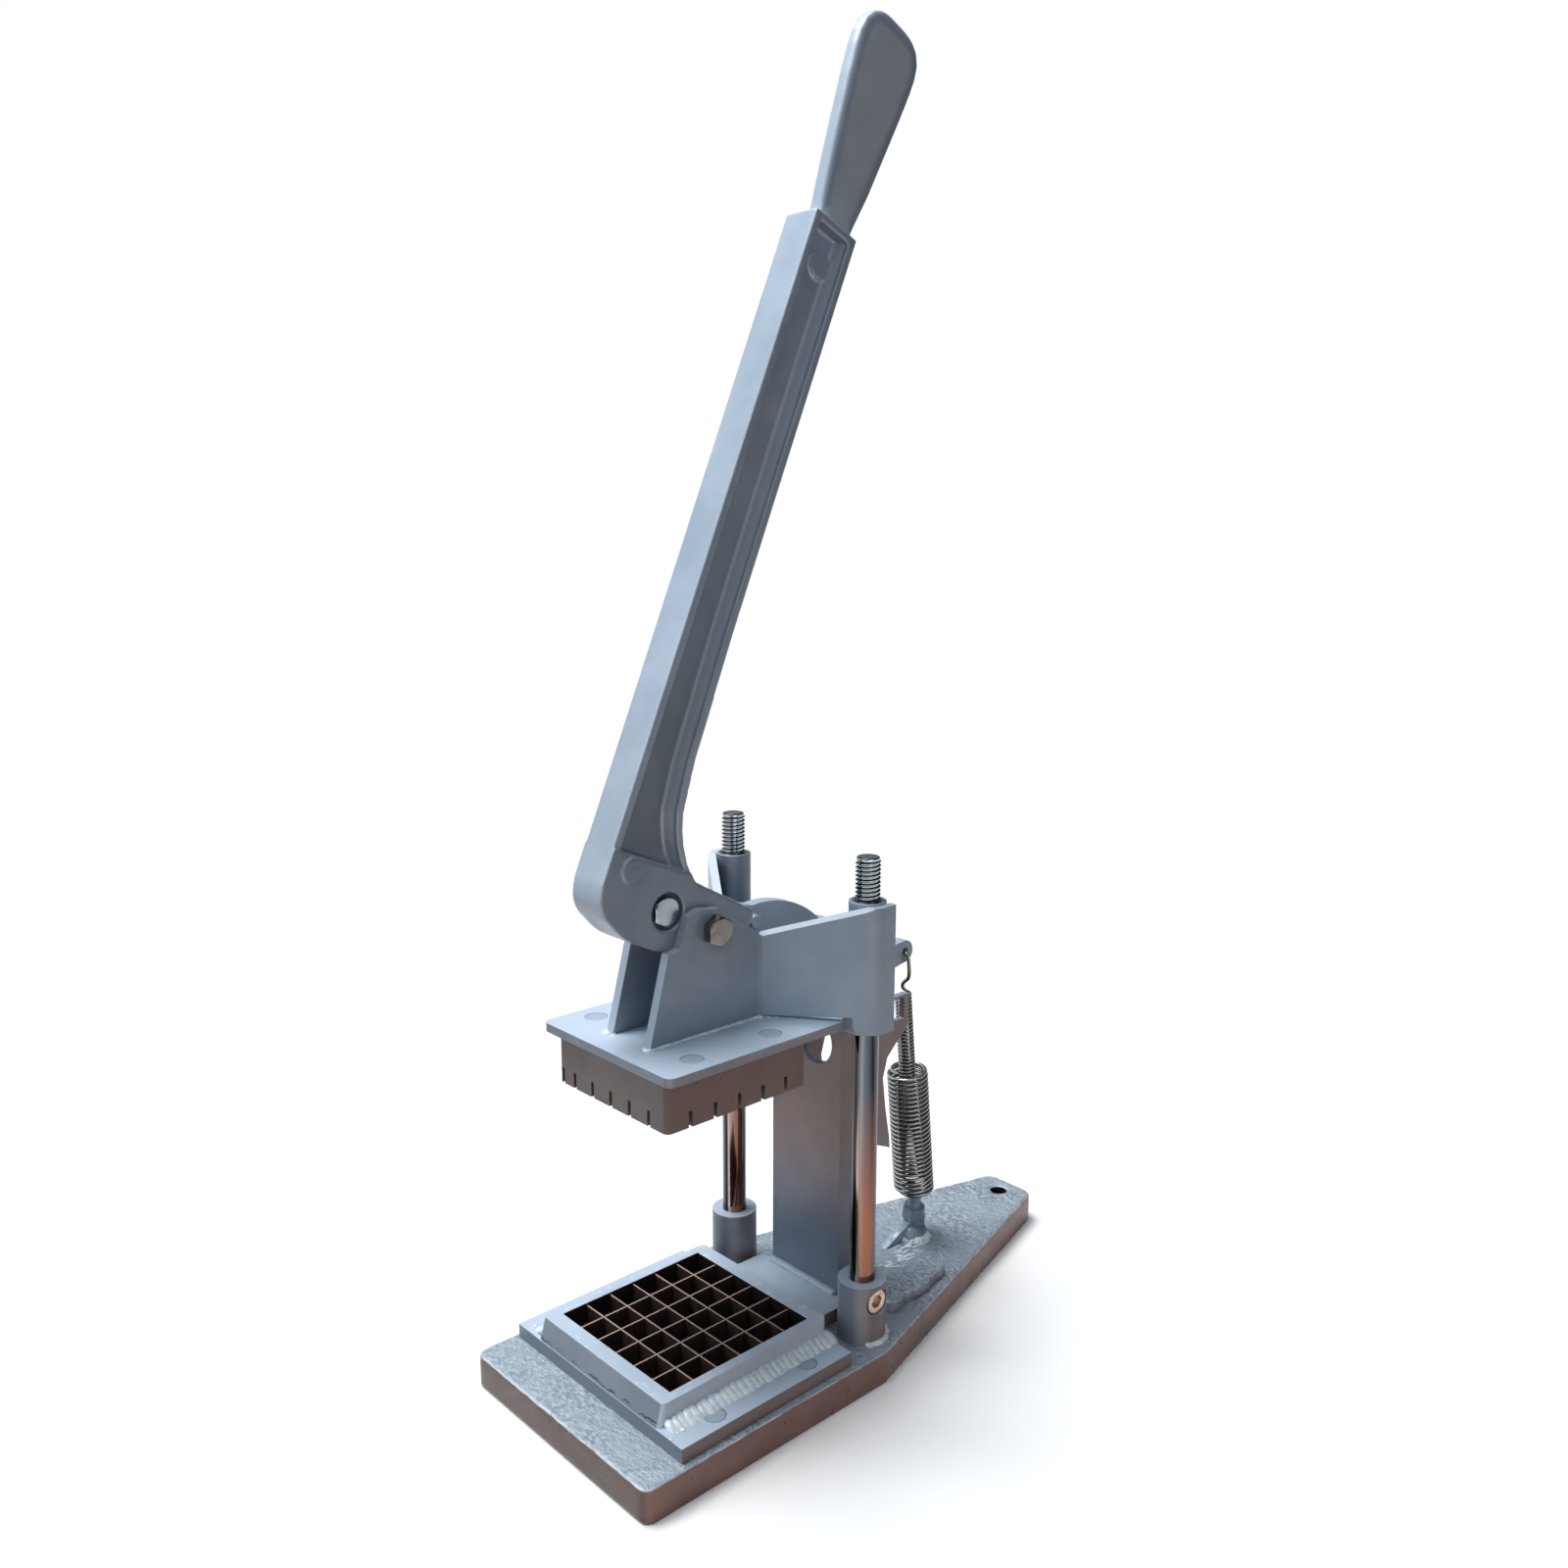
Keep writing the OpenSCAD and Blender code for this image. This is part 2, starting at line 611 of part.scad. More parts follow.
plate_gap = 2;
plate_back = column_y - plate_gap;
module pusher_plate() {
    notch_r = sleeve_r + pass_gap;
    color("lightsteelblue") in_part() translate([0, 0, plate_bottom]) difference() {
        linear_extrude(plate_t) difference() {
            translate([0, (plate_back - plate_front) / 2])
                rounded_box_2d(plate_w, plate_back + plate_front, plate_t);
            mirrored_x() translate([rod_x, rod_y]) circle(r = notch_r);
            mirrored_x() translate([rod_x, rod_y - notch_r]) square([plate_w, plate_back]);
        }
        pusher_screw_places() translate([0, 0, -over])
            cylinder(d = flush_d + 2 * seat_gap, h = plate_t + 2 * over);
    }
}

pusher_screw_x = 36;
pusher_screw_y = 23;
module pusher_screw_places() {
    for (x = [-1, 1], y = [-1, 1]) translate([x * pusher_screw_x, y * pusher_screw_y]) children();
}
module pusher_screws() {
    color("gray") in_part() pusher_screw_places() translate([0, 0, plate_bottom])
        cylinder(d = flush_d, h = plate_t);
}

module pusher_block() {
    half = block_w / 2;
    cuts = concat(blade_places, [-half + slot_w * 1.75]);
    color("gray") in_part() translate([0, 0, block_bottom]) difference() {
        linear_extrude(block_h) rounded_box_2d(block_w, block_w, slot_w * 1.5);
        for (p = cuts) translate([p - slot_w / 2, -half - over, -over])
            cube([slot_w, block_w + 2 * over, slot_depth + over]);
        for (p = blade_places) translate([-half - over, p - slot_w / 2, -over])
            cube([block_w + 2 * over, slot_w, slot_depth + over]);
    }
}

// Outline of a clevis side plate: from its foot up round the pivot and down to the bend, in
// shares of the pivot's height above the plate, measured from the pivot's place
side_shares = [[-0.78, -1], [-0.55, -0.127], [-0.477, -0.13], [-0.419, -0.106], [-0.31, 0.185],
               [-0.177, 0.231], [0.05, 0.208], [0.604, -0.181], [0.604, -1]];
bend_share = 0.604;
bend_y = pivot_y + bend_share * pivot_rise;
bend_top = pivot_z - 0.181 * pivot_rise;

// Direction in which the arm leaves the bend so that it just touches the wrap round the sleeve
arm_vector = [rod_x - side_out, rod_y - bend_y];
arm_angle = atan2(arm_vector[1], arm_vector[0]) - asin(wrap_r / norm(arm_vector));
arm_l = sqrt(arm_vector * arm_vector - wrap_r * wrap_r);
arm_rise = 4;

// Points on an arc from one angle to another
function arc(r, from, to, steps) = [for (i = [0 : steps]) let (a = from + (to - from) * i / steps)
    r * [cos(a), sin(a)]];

// The arm seen from above: straight from the bend, round the sleeve's front and along its side
module arm_plan() {
    along = [cos(arm_angle), sin(arm_angle)];
    root = [side_out, bend_y] - arm_t * 0.6 * along;
    rod_at = [rod_x, rod_y];
    lip = arm_t * 1.4;
    polygon(concat([root], [for (p = arc(wrap_r, arm_angle - 90, 0, 12)) rod_at + p],
        [rod_at + [wrap_r, lip], rod_at + [wrap_r - arm_t, lip]],
        [for (p = arc(wrap_r - arm_t, 0, arm_angle - 90, 12)) rod_at + p],
        [root + arm_t * [-along[1], along[0]]]));
}

// The upper and lower edge of the arm, seen from the side: it rises towards the sleeve
module arm_profile(top, foot) {
    far = rod_y + 2 * wrap_r;
    wrap_y = rod_y - wrap_r;
    polygon([[bend_y - arm_t, plate_top], [wrap_y, plate_top + arm_rise * 0.6], [wrap_y, plate_top - over],
             [wrap_y + over, foot], [far, foot], [far, top], [rod_y - wrap_r / 2, top - over],
             [bend_y, bend_top], [bend_y - arm_t, bend_top]]);
}

module side_plate(side, rise) {
    mirror([side < 0 ? 1 : 0, 0, 0]) color("lightsteelblue") in_part() {
        difference() {
            translate([(side_in + side_out) / 2, 0, 0]) across_x(side_t)
                translate([pivot_y, pivot_z]) polygon(side_shares * pivot_rise);
            x_cylinder(bolt_d + 2 * seat_gap, 4 * side_out, [pivot_y, pivot_z]);
        }
        intersection() {
            translate([0, 0, sleeve_foot - over]) linear_extrude(sleeve_top) arm_plan();
            translate([rod_x, 0, 0]) across_x(2 * rod_x) arm_profile(sleeve_top + rise, sleeve_foot);
        }
    }
}
module side_plate_left() { side_plate(-1, left_rise); }
module side_plate_right() { side_plate(1, 0); }

module side_plate_welds() {
    run = bend_share * pivot_rise;
    color("silver") in_part() mirrored_x() translate([side_out, pivot_y + run / 2 - weld_w, plate_top])
        rotate([0, 0, -90]) bead(run + weld_w, weld_w / 2, weld_w / 2);
}

module sleeve(side, rise) {
    color("lightsteelblue") in_part() translate([side * rod_x, rod_y, sleeve_foot]) difference() {
        cylinder(r = sleeve_r, h = sleeve_top + rise - sleeve_foot);
        translate([0, 0, -over]) cylinder(d = bush_d, h = sleeve_top + rise);
    }
}
module sleeve_left() { sleeve(-1, left_rise); }
module sleeve_right() { sleeve(1, 0); }

module bush(side, rise) {
    color("silver") in_part() translate([side * rod_x, rod_y, sleeve_foot]) difference() {
        cylinder(d = bush_d, h = sleeve_top + rise - sleeve_foot);
        translate([0, 0, -over]) cylinder(r = rod_r + run_gap, h = sleeve_top + rise);
    }
}
module bush_left() { bush(-1, left_rise); }
module bush_right() { bush(1, 0); }

nut_x = side_out + washer_t;
module pivot_bolt() {
    end = nut_x + bolt_k + washer_t;
    color("dimgray") in_part() translate([0, pivot_y, pivot_z]) rotate([0, 90, 0]) {
        translate([0, 0, -end]) cylinder(d = bolt_d, h = end + side_out + bolt_k / 2);
        translate([0, 0, side_out]) hexagon(bolt_af, bolt_k);
    }
}
module pivot_washer() {
    washer_d = 2 * bolt_d;
    color("silver") in_part() translate([0, pivot_y, pivot_z]) rotate([0, -90, 0])
        translate([0, 0, side_out]) difference() {
            cylinder(d = washer_d, h = washer_t);
            translate([0, 0, -over]) cylinder(d = bolt_d + 2 * seat_gap, h = washer_t + 2 * over);
        }
}
module pivot_nut() {
    color("silver") in_part() translate([0, pivot_y, pivot_z]) rotate([0, -90, 0])
        translate([0, 0, nut_x]) difference() {
            hexagon(bolt_af, bolt_k);
            translate([0, 0, -over]) cylinder(d = bolt_d, h = bolt_k + 2 * over);
        }
}

// Lever body. Its drawing is upright, from the pivot, and then leans back.

module on_lever() { translate([0, pivot_y, pivot_z]) rotate([-lever_lean, 0, 0]) children(); }

// The foot's outline from its front corner round the nose to the rear flange, in shares of
// the distance from the pivot to the front face
foot_shares = [[-1, 0.33], [-1, 0.02], [-0.93, -0.12], [-0.67, -0.24], [-0.39, -0.255],
               [-0.233, -0.225], [0.02, -0.18], [0.35, -0.07], [0.418, 0.15], [0.388, 0.219],
               [0.167, 0.246], [-0.124, 0.274], [-0.227, 0.286], [-0.276, 0.33]];
step_share = 0.322;

// The beam's rear outline above the foot, in the same shares
beam_rear_shares = [[-0.269, 0.322], [-0.341, 0.39], [-0.42, 0.5], [-0.47, 0.6], [-0.51, 0.71],
                    [-0.548, 1.06]];
rear = beam_depth - beam_offset;

module foot_2d() { polygon(foot_shares * beam_offset); }

module beam_2d() {
    start = step_share * beam_offset;
    polygon(concat([[-beam_offset, start]], beam_rear_shares * beam_offset,
                   [[rear, 2 * beam_offset], [rear, beam_l], [-beam_offset, beam_l]]));
}

// The recess between the flanges, on one side of the web
module recess_2d() {
    start = step_share * beam_offset;
    polygon(concat([[-beam_offset + flange_t, start]],
                   [for (s = beam_rear_shares) s * beam_offset - [flange_t, 0]],
                   [[rear - flange_t, 2 * beam_offset], [rear - flange_t, beam_l - flange_t],
                    [-beam_offset + flange_t, beam_l - flange_t]]));
}

module paddle_2d() {
    mid = -beam_offset * 0.72;
    tip_r = handle_w * 0.45;
    polygon([[mid - neck_w / 2, beam_l - over], [mid + neck_w / 2, beam_l - over],
             [mid + handle_w * 0.44, beam_l + handle_l * 0.55],
             [mid + handle_w / 2, beam_l + handle_l - tip_r],
             [mid - handle_w / 2, beam_l + handle_l - tip_r],
             [mid - handle_w * 0.46, beam_l + handle_l * 0.55]]);
    translate([mid, beam_l + handle_l - tip_r]) intersection() {
        scale([handle_w / 2 / tip_r, 1]) circle(r = tip_r, $fn = 48);
        translate([-handle_w, -over]) square([2 * handle_w, handle_w]);
    }
}

boss_r = 5.9;
boss_shares = [-0.8, 0.233];
top_boss_drop = 19;
bolt_recess_d = 17.5;
bolt_recess_deep = 5.6;

module lever_arm() {
    color("lightsteelblue") in_part() difference() {
        on_lever() {
            across_x(foot_w) foot_2d();
            difference() {
                across_x(beam_w) beam_2d();
                for (s = [-1, 1]) translate([s * (web_t + beam_w) / 2, 0, 0]) across_x(beam_w) recess_2d();
            }
            across_x(handle_t) paddle_2d();
            x_cylinder(2 * boss_r, foot_w + boss_r / 2, boss_shares * beam_offset);
            x_cylinder(2 * boss_r, web_t + boss_r / 1.5, [rear - beam_depth / 2.4, beam_l - top_boss_drop]);
        }
        across_x(tail_t + 2 * seat_gap) offset(delta = seat_gap) {
            tail_root_2d();
            arch_2d();
        }
        x_cylinder(nose_pin_d + 2 * seat_gap, 2 * foot_w, nose_pin_at);
        x_cylinder(bolt_d + 2 * run_gap, 2 * foot_w, [pivot_y, pivot_z]);
        x_cylinder(bolt_d + 2 * seat_gap, 2 * foot_w, tail_bolt_at);
        for (s = [-1, 1]) translate([s * (foot_w - bolt_recess_deep), 0, 0])
            x_cylinder(bolt_recess_d, foot_w, tail_bolt_at);
    }
}

tail_bolt_r = bolt_d;
pivot_boss_r = bolt_d * 1.2;
nose_r = bolt_d * 0.85;
neck_r = bolt_d * 0.92;
fulcrum_r = fulcrum_d * 1.25;

module tail_root_2d() {
    link_2d(tail_bolt_at, tail_bolt_r, [pivot_y, pivot_z], pivot_boss_r);
    link_2d([pivot_y, pivot_z], pivot_boss_r, nose_pin_at, nose_r);
}

// The arch over the column: the disc above a line that clears the column's top on its way
arch_floor_shares = [[0.46, 0.3], [0.46, -0.21], [1.05, -0.445], [1.42, -0.505], [1.6, -0.49], [1.6, 0.3]];
module arch_2d() {
    intersection() {
        translate(arch_centre) circle(r = arch_r, $fn = 128);
        translate([pivot_y, pivot_z]) polygon(arch_floor_shares * arch_r);
    }
}

module tail_plate() {
    color("slategray") in_part() difference() {
        across_x(tail_t) {
            tail_root_2d();
            arch_2d();
            link_2d(arch_end, neck_r, neck_top, neck_r);
            link_2d(neck_top, neck_r, neck_back, neck_r);
            link_2d(neck_back, neck_r, fulcrum_at, fulcrum_r);
            link_2d(neck_back, neck_r, eye_at, eye_r);
        }
        x_cylinder(bolt_d + 2 * run_gap, 2 * tail_t, [pivot_y, pivot_z]);
        x_cylinder(bolt_d + 2 * seat_gap, 2 * tail_t, tail_bolt_at);
        x_cylinder(nose_pin_d, 2 * tail_t, nose_pin_at);
        x_cylinder(fulcrum_d, 2 * tail_t, fulcrum_at);
        x_cylinder(eye_hole_d, 2 * tail_t, eye_at);
    }
}

recess_floor = foot_w / 2 - bolt_recess_deep;
module tail_bolt() {
    head_k = bolt_recess_deep - pass_gap;
    color("silver") in_part() translate([0, tail_bolt_at[0], tail_bolt_at[1]]) rotate([0, 90, 0]) {
        translate([0, 0, -foot_w / 2 + pass_gap]) cylinder(d = bolt_d, h = foot_w / 2 + recess_floor);
        translate([0, 0, recess_floor]) hexagon(bolt_af, head_k);
    }
}
module tail_nut() {
    nut_k = bolt_recess_deep - pass_gap;
    color("silver") in_part() translate([0, tail_bolt_at[0], tail_bolt_at[1]]) rotate([0, -90, 0])
        translate([0, 0, recess_floor]) difference() {
            hexagon(bolt_af, nut_k);
            translate([0, 0, -over]) cylinder(d = bolt_d, h = nut_k + 2 * over);
        }
}

module nose_pin() { color("gray") in_part() x_cylinder(nose_pin_d, 0.85 * foot_w, nose_pin_at); }

fork_out = fork_x + fork_t / 2;
collar_t = 2;
module fulcrum_pin() {
    color("gray") in_part() x_cylinder(fulcrum_d, 2 * (fork_out + pass_gap + collar_t), fulcrum_at);
}
module fulcrum_collars() {
    color("gray") in_part() for (s = [-1, 1])
        translate([s * (fork_out + pass_gap + collar_t / 2), 0, 0]) difference() {
            x_cylinder(fulcrum_d * 1.6, collar_t, fulcrum_at);
            x_cylinder(fulcrum_d, collar_t + 2 * over, fulcrum_at);
        }
}

echo(str("lever turn: ", lever_turn, " degrees"));
echo(str("large spring: least gap ", least_gap(large_path, large_wire), " mm"));
echo(str("small spring: least gap ", least_gap(small_path, small_wire), " mm"));

base_plate();
holder_plate();
blade_frame();
blades_across();
blades_along();
holder_screws();
frame_weld();
socket_left();
socket_right();
set_screws();
guide_rod_left();
guide_rod_right();
column();
column_weld();
fork_plate_left();
fork_plate_right();
spring_post();
large_spring();
small_spring();
pusher_plate();
pusher_block();
pusher_screws();
side_plate_left();
side_plate_right();
side_plate_welds();
sleeve_left();
sleeve_right();
bush_left();
bush_right();
pivot_bolt();
pivot_washer();
pivot_nut();
lever_arm();
tail_plate();
tail_bolt();
tail_nut();
nose_pin();
fulcrum_pin();
fulcrum_collars();
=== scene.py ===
import json
import math
import random

import bmesh
import bpy
from mathutils import Matrix, Vector


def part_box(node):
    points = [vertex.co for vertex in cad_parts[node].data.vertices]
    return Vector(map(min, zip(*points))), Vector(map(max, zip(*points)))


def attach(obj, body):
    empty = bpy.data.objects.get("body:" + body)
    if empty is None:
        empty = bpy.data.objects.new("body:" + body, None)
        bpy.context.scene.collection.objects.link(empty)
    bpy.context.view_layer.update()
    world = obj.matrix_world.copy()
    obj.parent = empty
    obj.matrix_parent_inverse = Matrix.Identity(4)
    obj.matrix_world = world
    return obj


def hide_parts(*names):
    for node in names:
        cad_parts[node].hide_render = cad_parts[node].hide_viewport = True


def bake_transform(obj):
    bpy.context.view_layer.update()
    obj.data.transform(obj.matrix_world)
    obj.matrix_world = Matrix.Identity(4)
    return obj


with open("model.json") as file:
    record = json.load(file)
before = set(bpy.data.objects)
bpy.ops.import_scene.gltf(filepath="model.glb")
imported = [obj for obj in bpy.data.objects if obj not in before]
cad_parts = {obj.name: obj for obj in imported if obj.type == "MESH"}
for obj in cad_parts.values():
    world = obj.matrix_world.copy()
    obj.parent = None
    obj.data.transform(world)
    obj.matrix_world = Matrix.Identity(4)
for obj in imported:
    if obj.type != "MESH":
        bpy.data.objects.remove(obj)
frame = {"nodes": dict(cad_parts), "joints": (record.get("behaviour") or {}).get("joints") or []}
bpy.context.scene.view_settings.view_transform = "Standard"
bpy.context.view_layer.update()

MM = 0.001
ROUND = 72  # sides of a turned piece
SMALL_ROUND = 48  # sides of a screw or bolt
SIDES = (("left", -1), ("right", 1))

# Camera, solved from the blade grid: its place, and where it looks
CAMERA_PLACE = Vector((476.2, -464.75, 409.6)) * MM
CAMERA_AZIMUTH = math.radians(46.326)
CAMERA_PITCH = math.radians(10.491)
CAMERA_ROLL = math.radians(0.39)
CAMERA_LENS = 31.29
CAMERA_SHIFT_X = -0.0149


def make_camera():
    data = bpy.data.cameras.new("camera")
    data.sensor_width = 36
    data.lens = CAMERA_LENS
    data.shift_x = CAMERA_SHIFT_X
    data.clip_start = 0.01
    camera = bpy.data.objects.new("camera", data)
    bpy.context.scene.collection.objects.link(camera)
    level = math.cos(CAMERA_PITCH)
    forward = Vector((-math.sin(CAMERA_AZIMUTH) * level, math.cos(CAMERA_AZIMUTH) * level,
                      -math.sin(CAMERA_PITCH)))
    right = forward.cross(Vector((0, 0, 1))).normalized()
    up = right.cross(forward)
    c, s = math.cos(CAMERA_ROLL), math.sin(CAMERA_ROLL)
    right, up = right * c + up * s, up * c - right * s
    turn = Matrix((right, up, -forward)).transposed().to_4x4()
    camera.matrix_world = Matrix.Translation(CAMERA_PLACE) @ turn
    bpy.context.scene.camera = camera


# Modelling helpers


def millimetres(*sizes):
    return Vector(sizes) * MM


def at_height(place, z):
    return Vector((place.x, place.y, z))


def select_only(*objects):
    bpy.ops.object.select_all(action="DESELECT")
    for one in objects:
        one.select_set(True)
    bpy.context.view_layer.objects.active = objects[-1]


def start_edit(piece, mode="VERT"):
    """Opens the piece in edit mode with all of it selected."""
    select_only(piece)
    bpy.ops.object.mode_set(mode="EDIT")
    bpy.ops.mesh.select_mode(type=mode)
    bpy.ops.mesh.select_all(action="SELECT")


def end_edit():
    bpy.ops.object.mode_set(mode="OBJECT")


def pick(piece, mode, wanted):
    """Selects, in edit mode, the faces or edges for which wanted(middle, direction) is true."""
    bpy.ops.mesh.select_mode(type=mode)
    bpy.ops.mesh.select_all(action="DESELECT")
    mesh = bmesh.from_edit_mesh(piece.data)
    if mode == "FACE":
        for face in mesh.faces:
            face.select = wanted(face.calc_center_median(), face.normal)
    else:
        for edge in mesh.edges:
            a, b = edge.verts[0].co, edge.verts[1].co
            edge.select = wanted((a + b) / 2, (b - a).normalized())
    mesh.select_flush_mode()
    bmesh.update_edit_mesh(piece.data)


def settle(piece):
    """Puts the piece's place, turn and scale into its mesh."""
    select_only(piece)
    bpy.ops.object.transform_apply(location=True, rotation=True, scale=True)
    return piece


def finish_with(piece, kind, **settings):
    """Adds a modifier with these settings and applies it."""
    select_only(piece)
    modifier = piece.modifiers.new(kind.lower(), kind)
    for key, value in settings.items():
        setattr(modifier, key, value)
    bpy.ops.object.modifier_apply(modifier=modifier.name)
    return piece


def joined(name, pieces):
    select_only(*pieces)
    if len(pieces) > 1:
        bpy.ops.object.join()
    whole = bpy.context.object
    whole.name = name
    return whole


def cut(piece, tool, operation="DIFFERENCE"):
    finish_with(piece, "BOOLEAN", operation=operation, object=tool, solver="EXACT")
    bpy.data.objects.remove(tool)
    return piece


def smooth(piece, angle=35):
    select_only(piece)
    bpy.ops.object.shade_smooth_by_angle(angle=math.radians(angle))
    return piece


def eased(piece, width, segments=2):
    """Rounds the piece's sharp edges and keeps its flat faces flat to the eye."""
    finish_with(piece, "BEVEL", width=width * MM, segments=segments, limit_method="ANGLE",
                angle_limit=math.radians(32), use_clamp_overlap=True)
    smooth(piece)
    return finish_with(piece, "WEIGHTED_NORMAL", keep_sharp=True, weight=60)


def node_copy(name, node):
    """A clean mesh of this node: merged, with its flat faces made whole."""
    piece = frame["nodes"][node].copy()
    piece.data = piece.data.copy()
    for key in list(piece.keys()):
        del piece[key]
    piece.parent = None
    bpy.context.scene.collection.objects.link(piece)
    joined(name, [piece])
    piece.data.name = name
    piece.data.materials.clear()
    bpy.ops.mesh.customdata_custom_splitnormals_clear()
    start_edit(piece)
    bpy.ops.mesh.remove_doubles(threshold=0.002 * MM)
    bpy.ops.mesh.dissolve_limited(angle_limit=math.radians(0.4))
    end_edit()
    return piece


def as_casting(piece, grain, rounds):
    """Melts edges and corners together, as on a casting or a weld."""
    finish_with(piece, "REMESH", mode="VOXEL", voxel_size=grain * MM, use_smooth_shade=True)
    finish_with(piece, "SMOOTH", factor=0.5, iterations=rounds)
    select_only(piece)
    bpy.ops.object.shade_smooth()
    return piece


def roughened(piece, size, depth, name, detail=1, middle=0.5, **where):
    """Moves the skin in and out by a cloud pattern of this size and depth."""
    pattern = bpy.data.textures.new(name, "CLOUDS")
    pattern.noise_scale = size * MM
    pattern.noise_depth = detail
    return finish_with(piece, "DISPLACE", texture=pattern, texture_coords="LOCAL", strength=depth * MM,
                       mid_level=middle, **where)


def turned_rod(name, foot, top, radius, sides=ROUND):
    """A round bar from one point to another."""
    along = top - foot
    turn = along.to_track_quat("Z", "Y").to_euler()
    bpy.ops.mesh.primitive_cylinder_add(vertices=sides, radius=radius, depth=along.length,
                                        location=(foot + top) / 2, rotation=turn)
    piece = bpy.context.object
    piece.name = name
    return settle(piece)


def turned_tube(name, foot, top, outer, inner):
    """A bored bar: both ends are inset and the two rims are bridged into a bore."""
    piece = turned_rod(name, foot, top, outer)
    along = (top - foot).normalized()
    start_edit(piece)
    pick(piece, "FACE", lambda middle, normal: abs(normal.dot(along)) > 0.9)
    bpy.ops.mesh.inset(thickness=outer - inner)
    bpy.ops.mesh.bridge_edge_loops()
    end_edit()
    return piece


def body_box(node):
    low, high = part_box(node)
    return low, high, (low + high) / 2


def dress(piece, body, finish, *nodes):
    """Gives a finished piece its material and its body, and hides the nodes that it stands for."""
    piece.data.materials.clear()
    piece.data.materials.append(look[finish])
    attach(piece, body)
    if nodes:
        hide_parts(*nodes)
    return piece


# Materials


class Nodes:
    """A node tree, with a short way to add and link its nodes."""

    def __init__(self, owner):
        owner.use_nodes = True
        self.tree = owner.node_tree

    def add(self, kind, inputs=None, **settings):
        """A new node with these settings, and then these inputs."""
        node = self.tree.nodes.new(kind)
        for key, value in settings.items():
            setattr(node, key, value)
        for key, value in (inputs or {}).items():
            self.feed(node, key, value)
        return node

    def feed(self, node, key, value):
        """Gives an input another node's output, a number or a colour."""
        if isinstance(value, bpy.types.NodeSocket):
            self.tree.links.new(value, node.inputs[key])
        else:
            node.inputs[key].default_value = (*value, 1) if isinstance(value, tuple) else value

    def span(self, value, low, high, to_low=0.0, to_high=1.0):
        """Maps low to high onto to_low to to_high, held at both ends."""
        ends = {"From Min": low, "From Max": high, "To Min": to_low, "To Max": to_high}
        return self.add("ShaderNodeMapRange", {"Value": value, **ends}).outputs["Result"]

    def blend(self, factor, first, second):
        """A node that goes from one node's shader to another's."""
        return self.add("ShaderNodeMixShader", {0: factor, 1: first.outputs[0], 2: second.outputs[0]})


class Recipe(Nodes):
    """A material, with the sums and patterns that its colours are made from."""

    def __init__(self, name, metallic, roughness):
        self.material = bpy.data.materials.new(name)
        super().__init__(self.material)
        self.shader = self.tree.nodes["Principled BSDF"]
        self.feed(self.shader, "Metallic", metallic)
        self.feed(self.shader, "Roughness", roughness)
        self.place = self.add("ShaderNodeTexCoord").outputs["Object"]

    def noise(self, size, detail=3, roughness=0.55, stretch=(1, 1, 1)):
        """Cloud noise whose features are about this many millimetres."""
        scale = [s / (size * MM) for s in stretch]
        mapping = self.add("ShaderNodeMapping", {"Vector": self.place, "Scale": scale})
        inputs = {"Vector": mapping.outputs["Vector"], "Scale": 1, "Detail": detail, "Roughness": roughness}
        return self.add("ShaderNodeTexNoise", inputs).outputs["Fac"]

    def ramp(self, factor, *stops):
        """Colours along a factor: each stop is a place and a colour."""
        node = self.add("ShaderNodeValToRGB", {"Fac": factor})
        while len(node.color_ramp.elements) < len(stops):
            node.color_ramp.elements.new(1)
        for element, (place, colour) in zip(node.color_ramp.elements, stops):
            element.position = place
            element.color = (*colour, 1)
        return node.outputs["Color"]

    def band(self, value, rise, risen, fall, fallen, most=1.0):
        """Rises between the first two places and falls between the last two."""
        return self.times(self.span(value, rise, risen), self.span(value, fall, fallen, most, 0.0))

    def mix(self, factor, a, b, blend="MIX"):
        inputs = {"Factor": factor, "A": a, "B": b}
        return self.add("ShaderNodeMix", inputs, data_type="RGBA", blend_type=blend).outputs["Result"]

    def sums(self, operation, a, b=0.0):
        return self.add("ShaderNodeMath", {0: a, 1: b}, operation=operation).outputs["Value"]

    def times(self, a, b):
        return self.sums("MULTIPLY", a, b)

    def plus(self, a, b):
        return self.sums("ADD", a, b)

    def larger(self, a, b):
        return self.sums("MAXIMUM", a, b)

    def unsigned(self, value):
        return self.sums("ABSOLUTE", value)

    def part_of(self, vector, axis):
        return self.add("ShaderNodeSeparateXYZ", {"Vector": vector}).outputs[axis]

    def at(self, axis):
        """How far along this axis the place is."""
        return self.part_of(self.place, axis)

    def facing(self, axis):
        """How squarely the surface points along this axis: minus one to one."""
        return self.part_of(self.add("ShaderNodeNewGeometry").outputs["Normal"], axis)

    def facing_either(self, axis):
        """The same without its sign."""
        return self.unsigned(self.facing(axis))

    def colour(self, value):
        self.feed(self.shader, "Base Color", value)

    def rough(self, value):
        self.feed(self.shader, "Roughness", value)

    def bump(self, *layers):
        """Each layer is a height, its strength and its depth in millimetres."""
        below = {}
        for height, strength, depth in layers:
            inputs = {"Height": height, "Strength": strength, "Distance": depth * MM, **below}
            below = {"Normal": self.add("ShaderNodeBump", inputs).outputs["Normal"]}
        self.feed(self.shader, "Normal", below["Normal"])


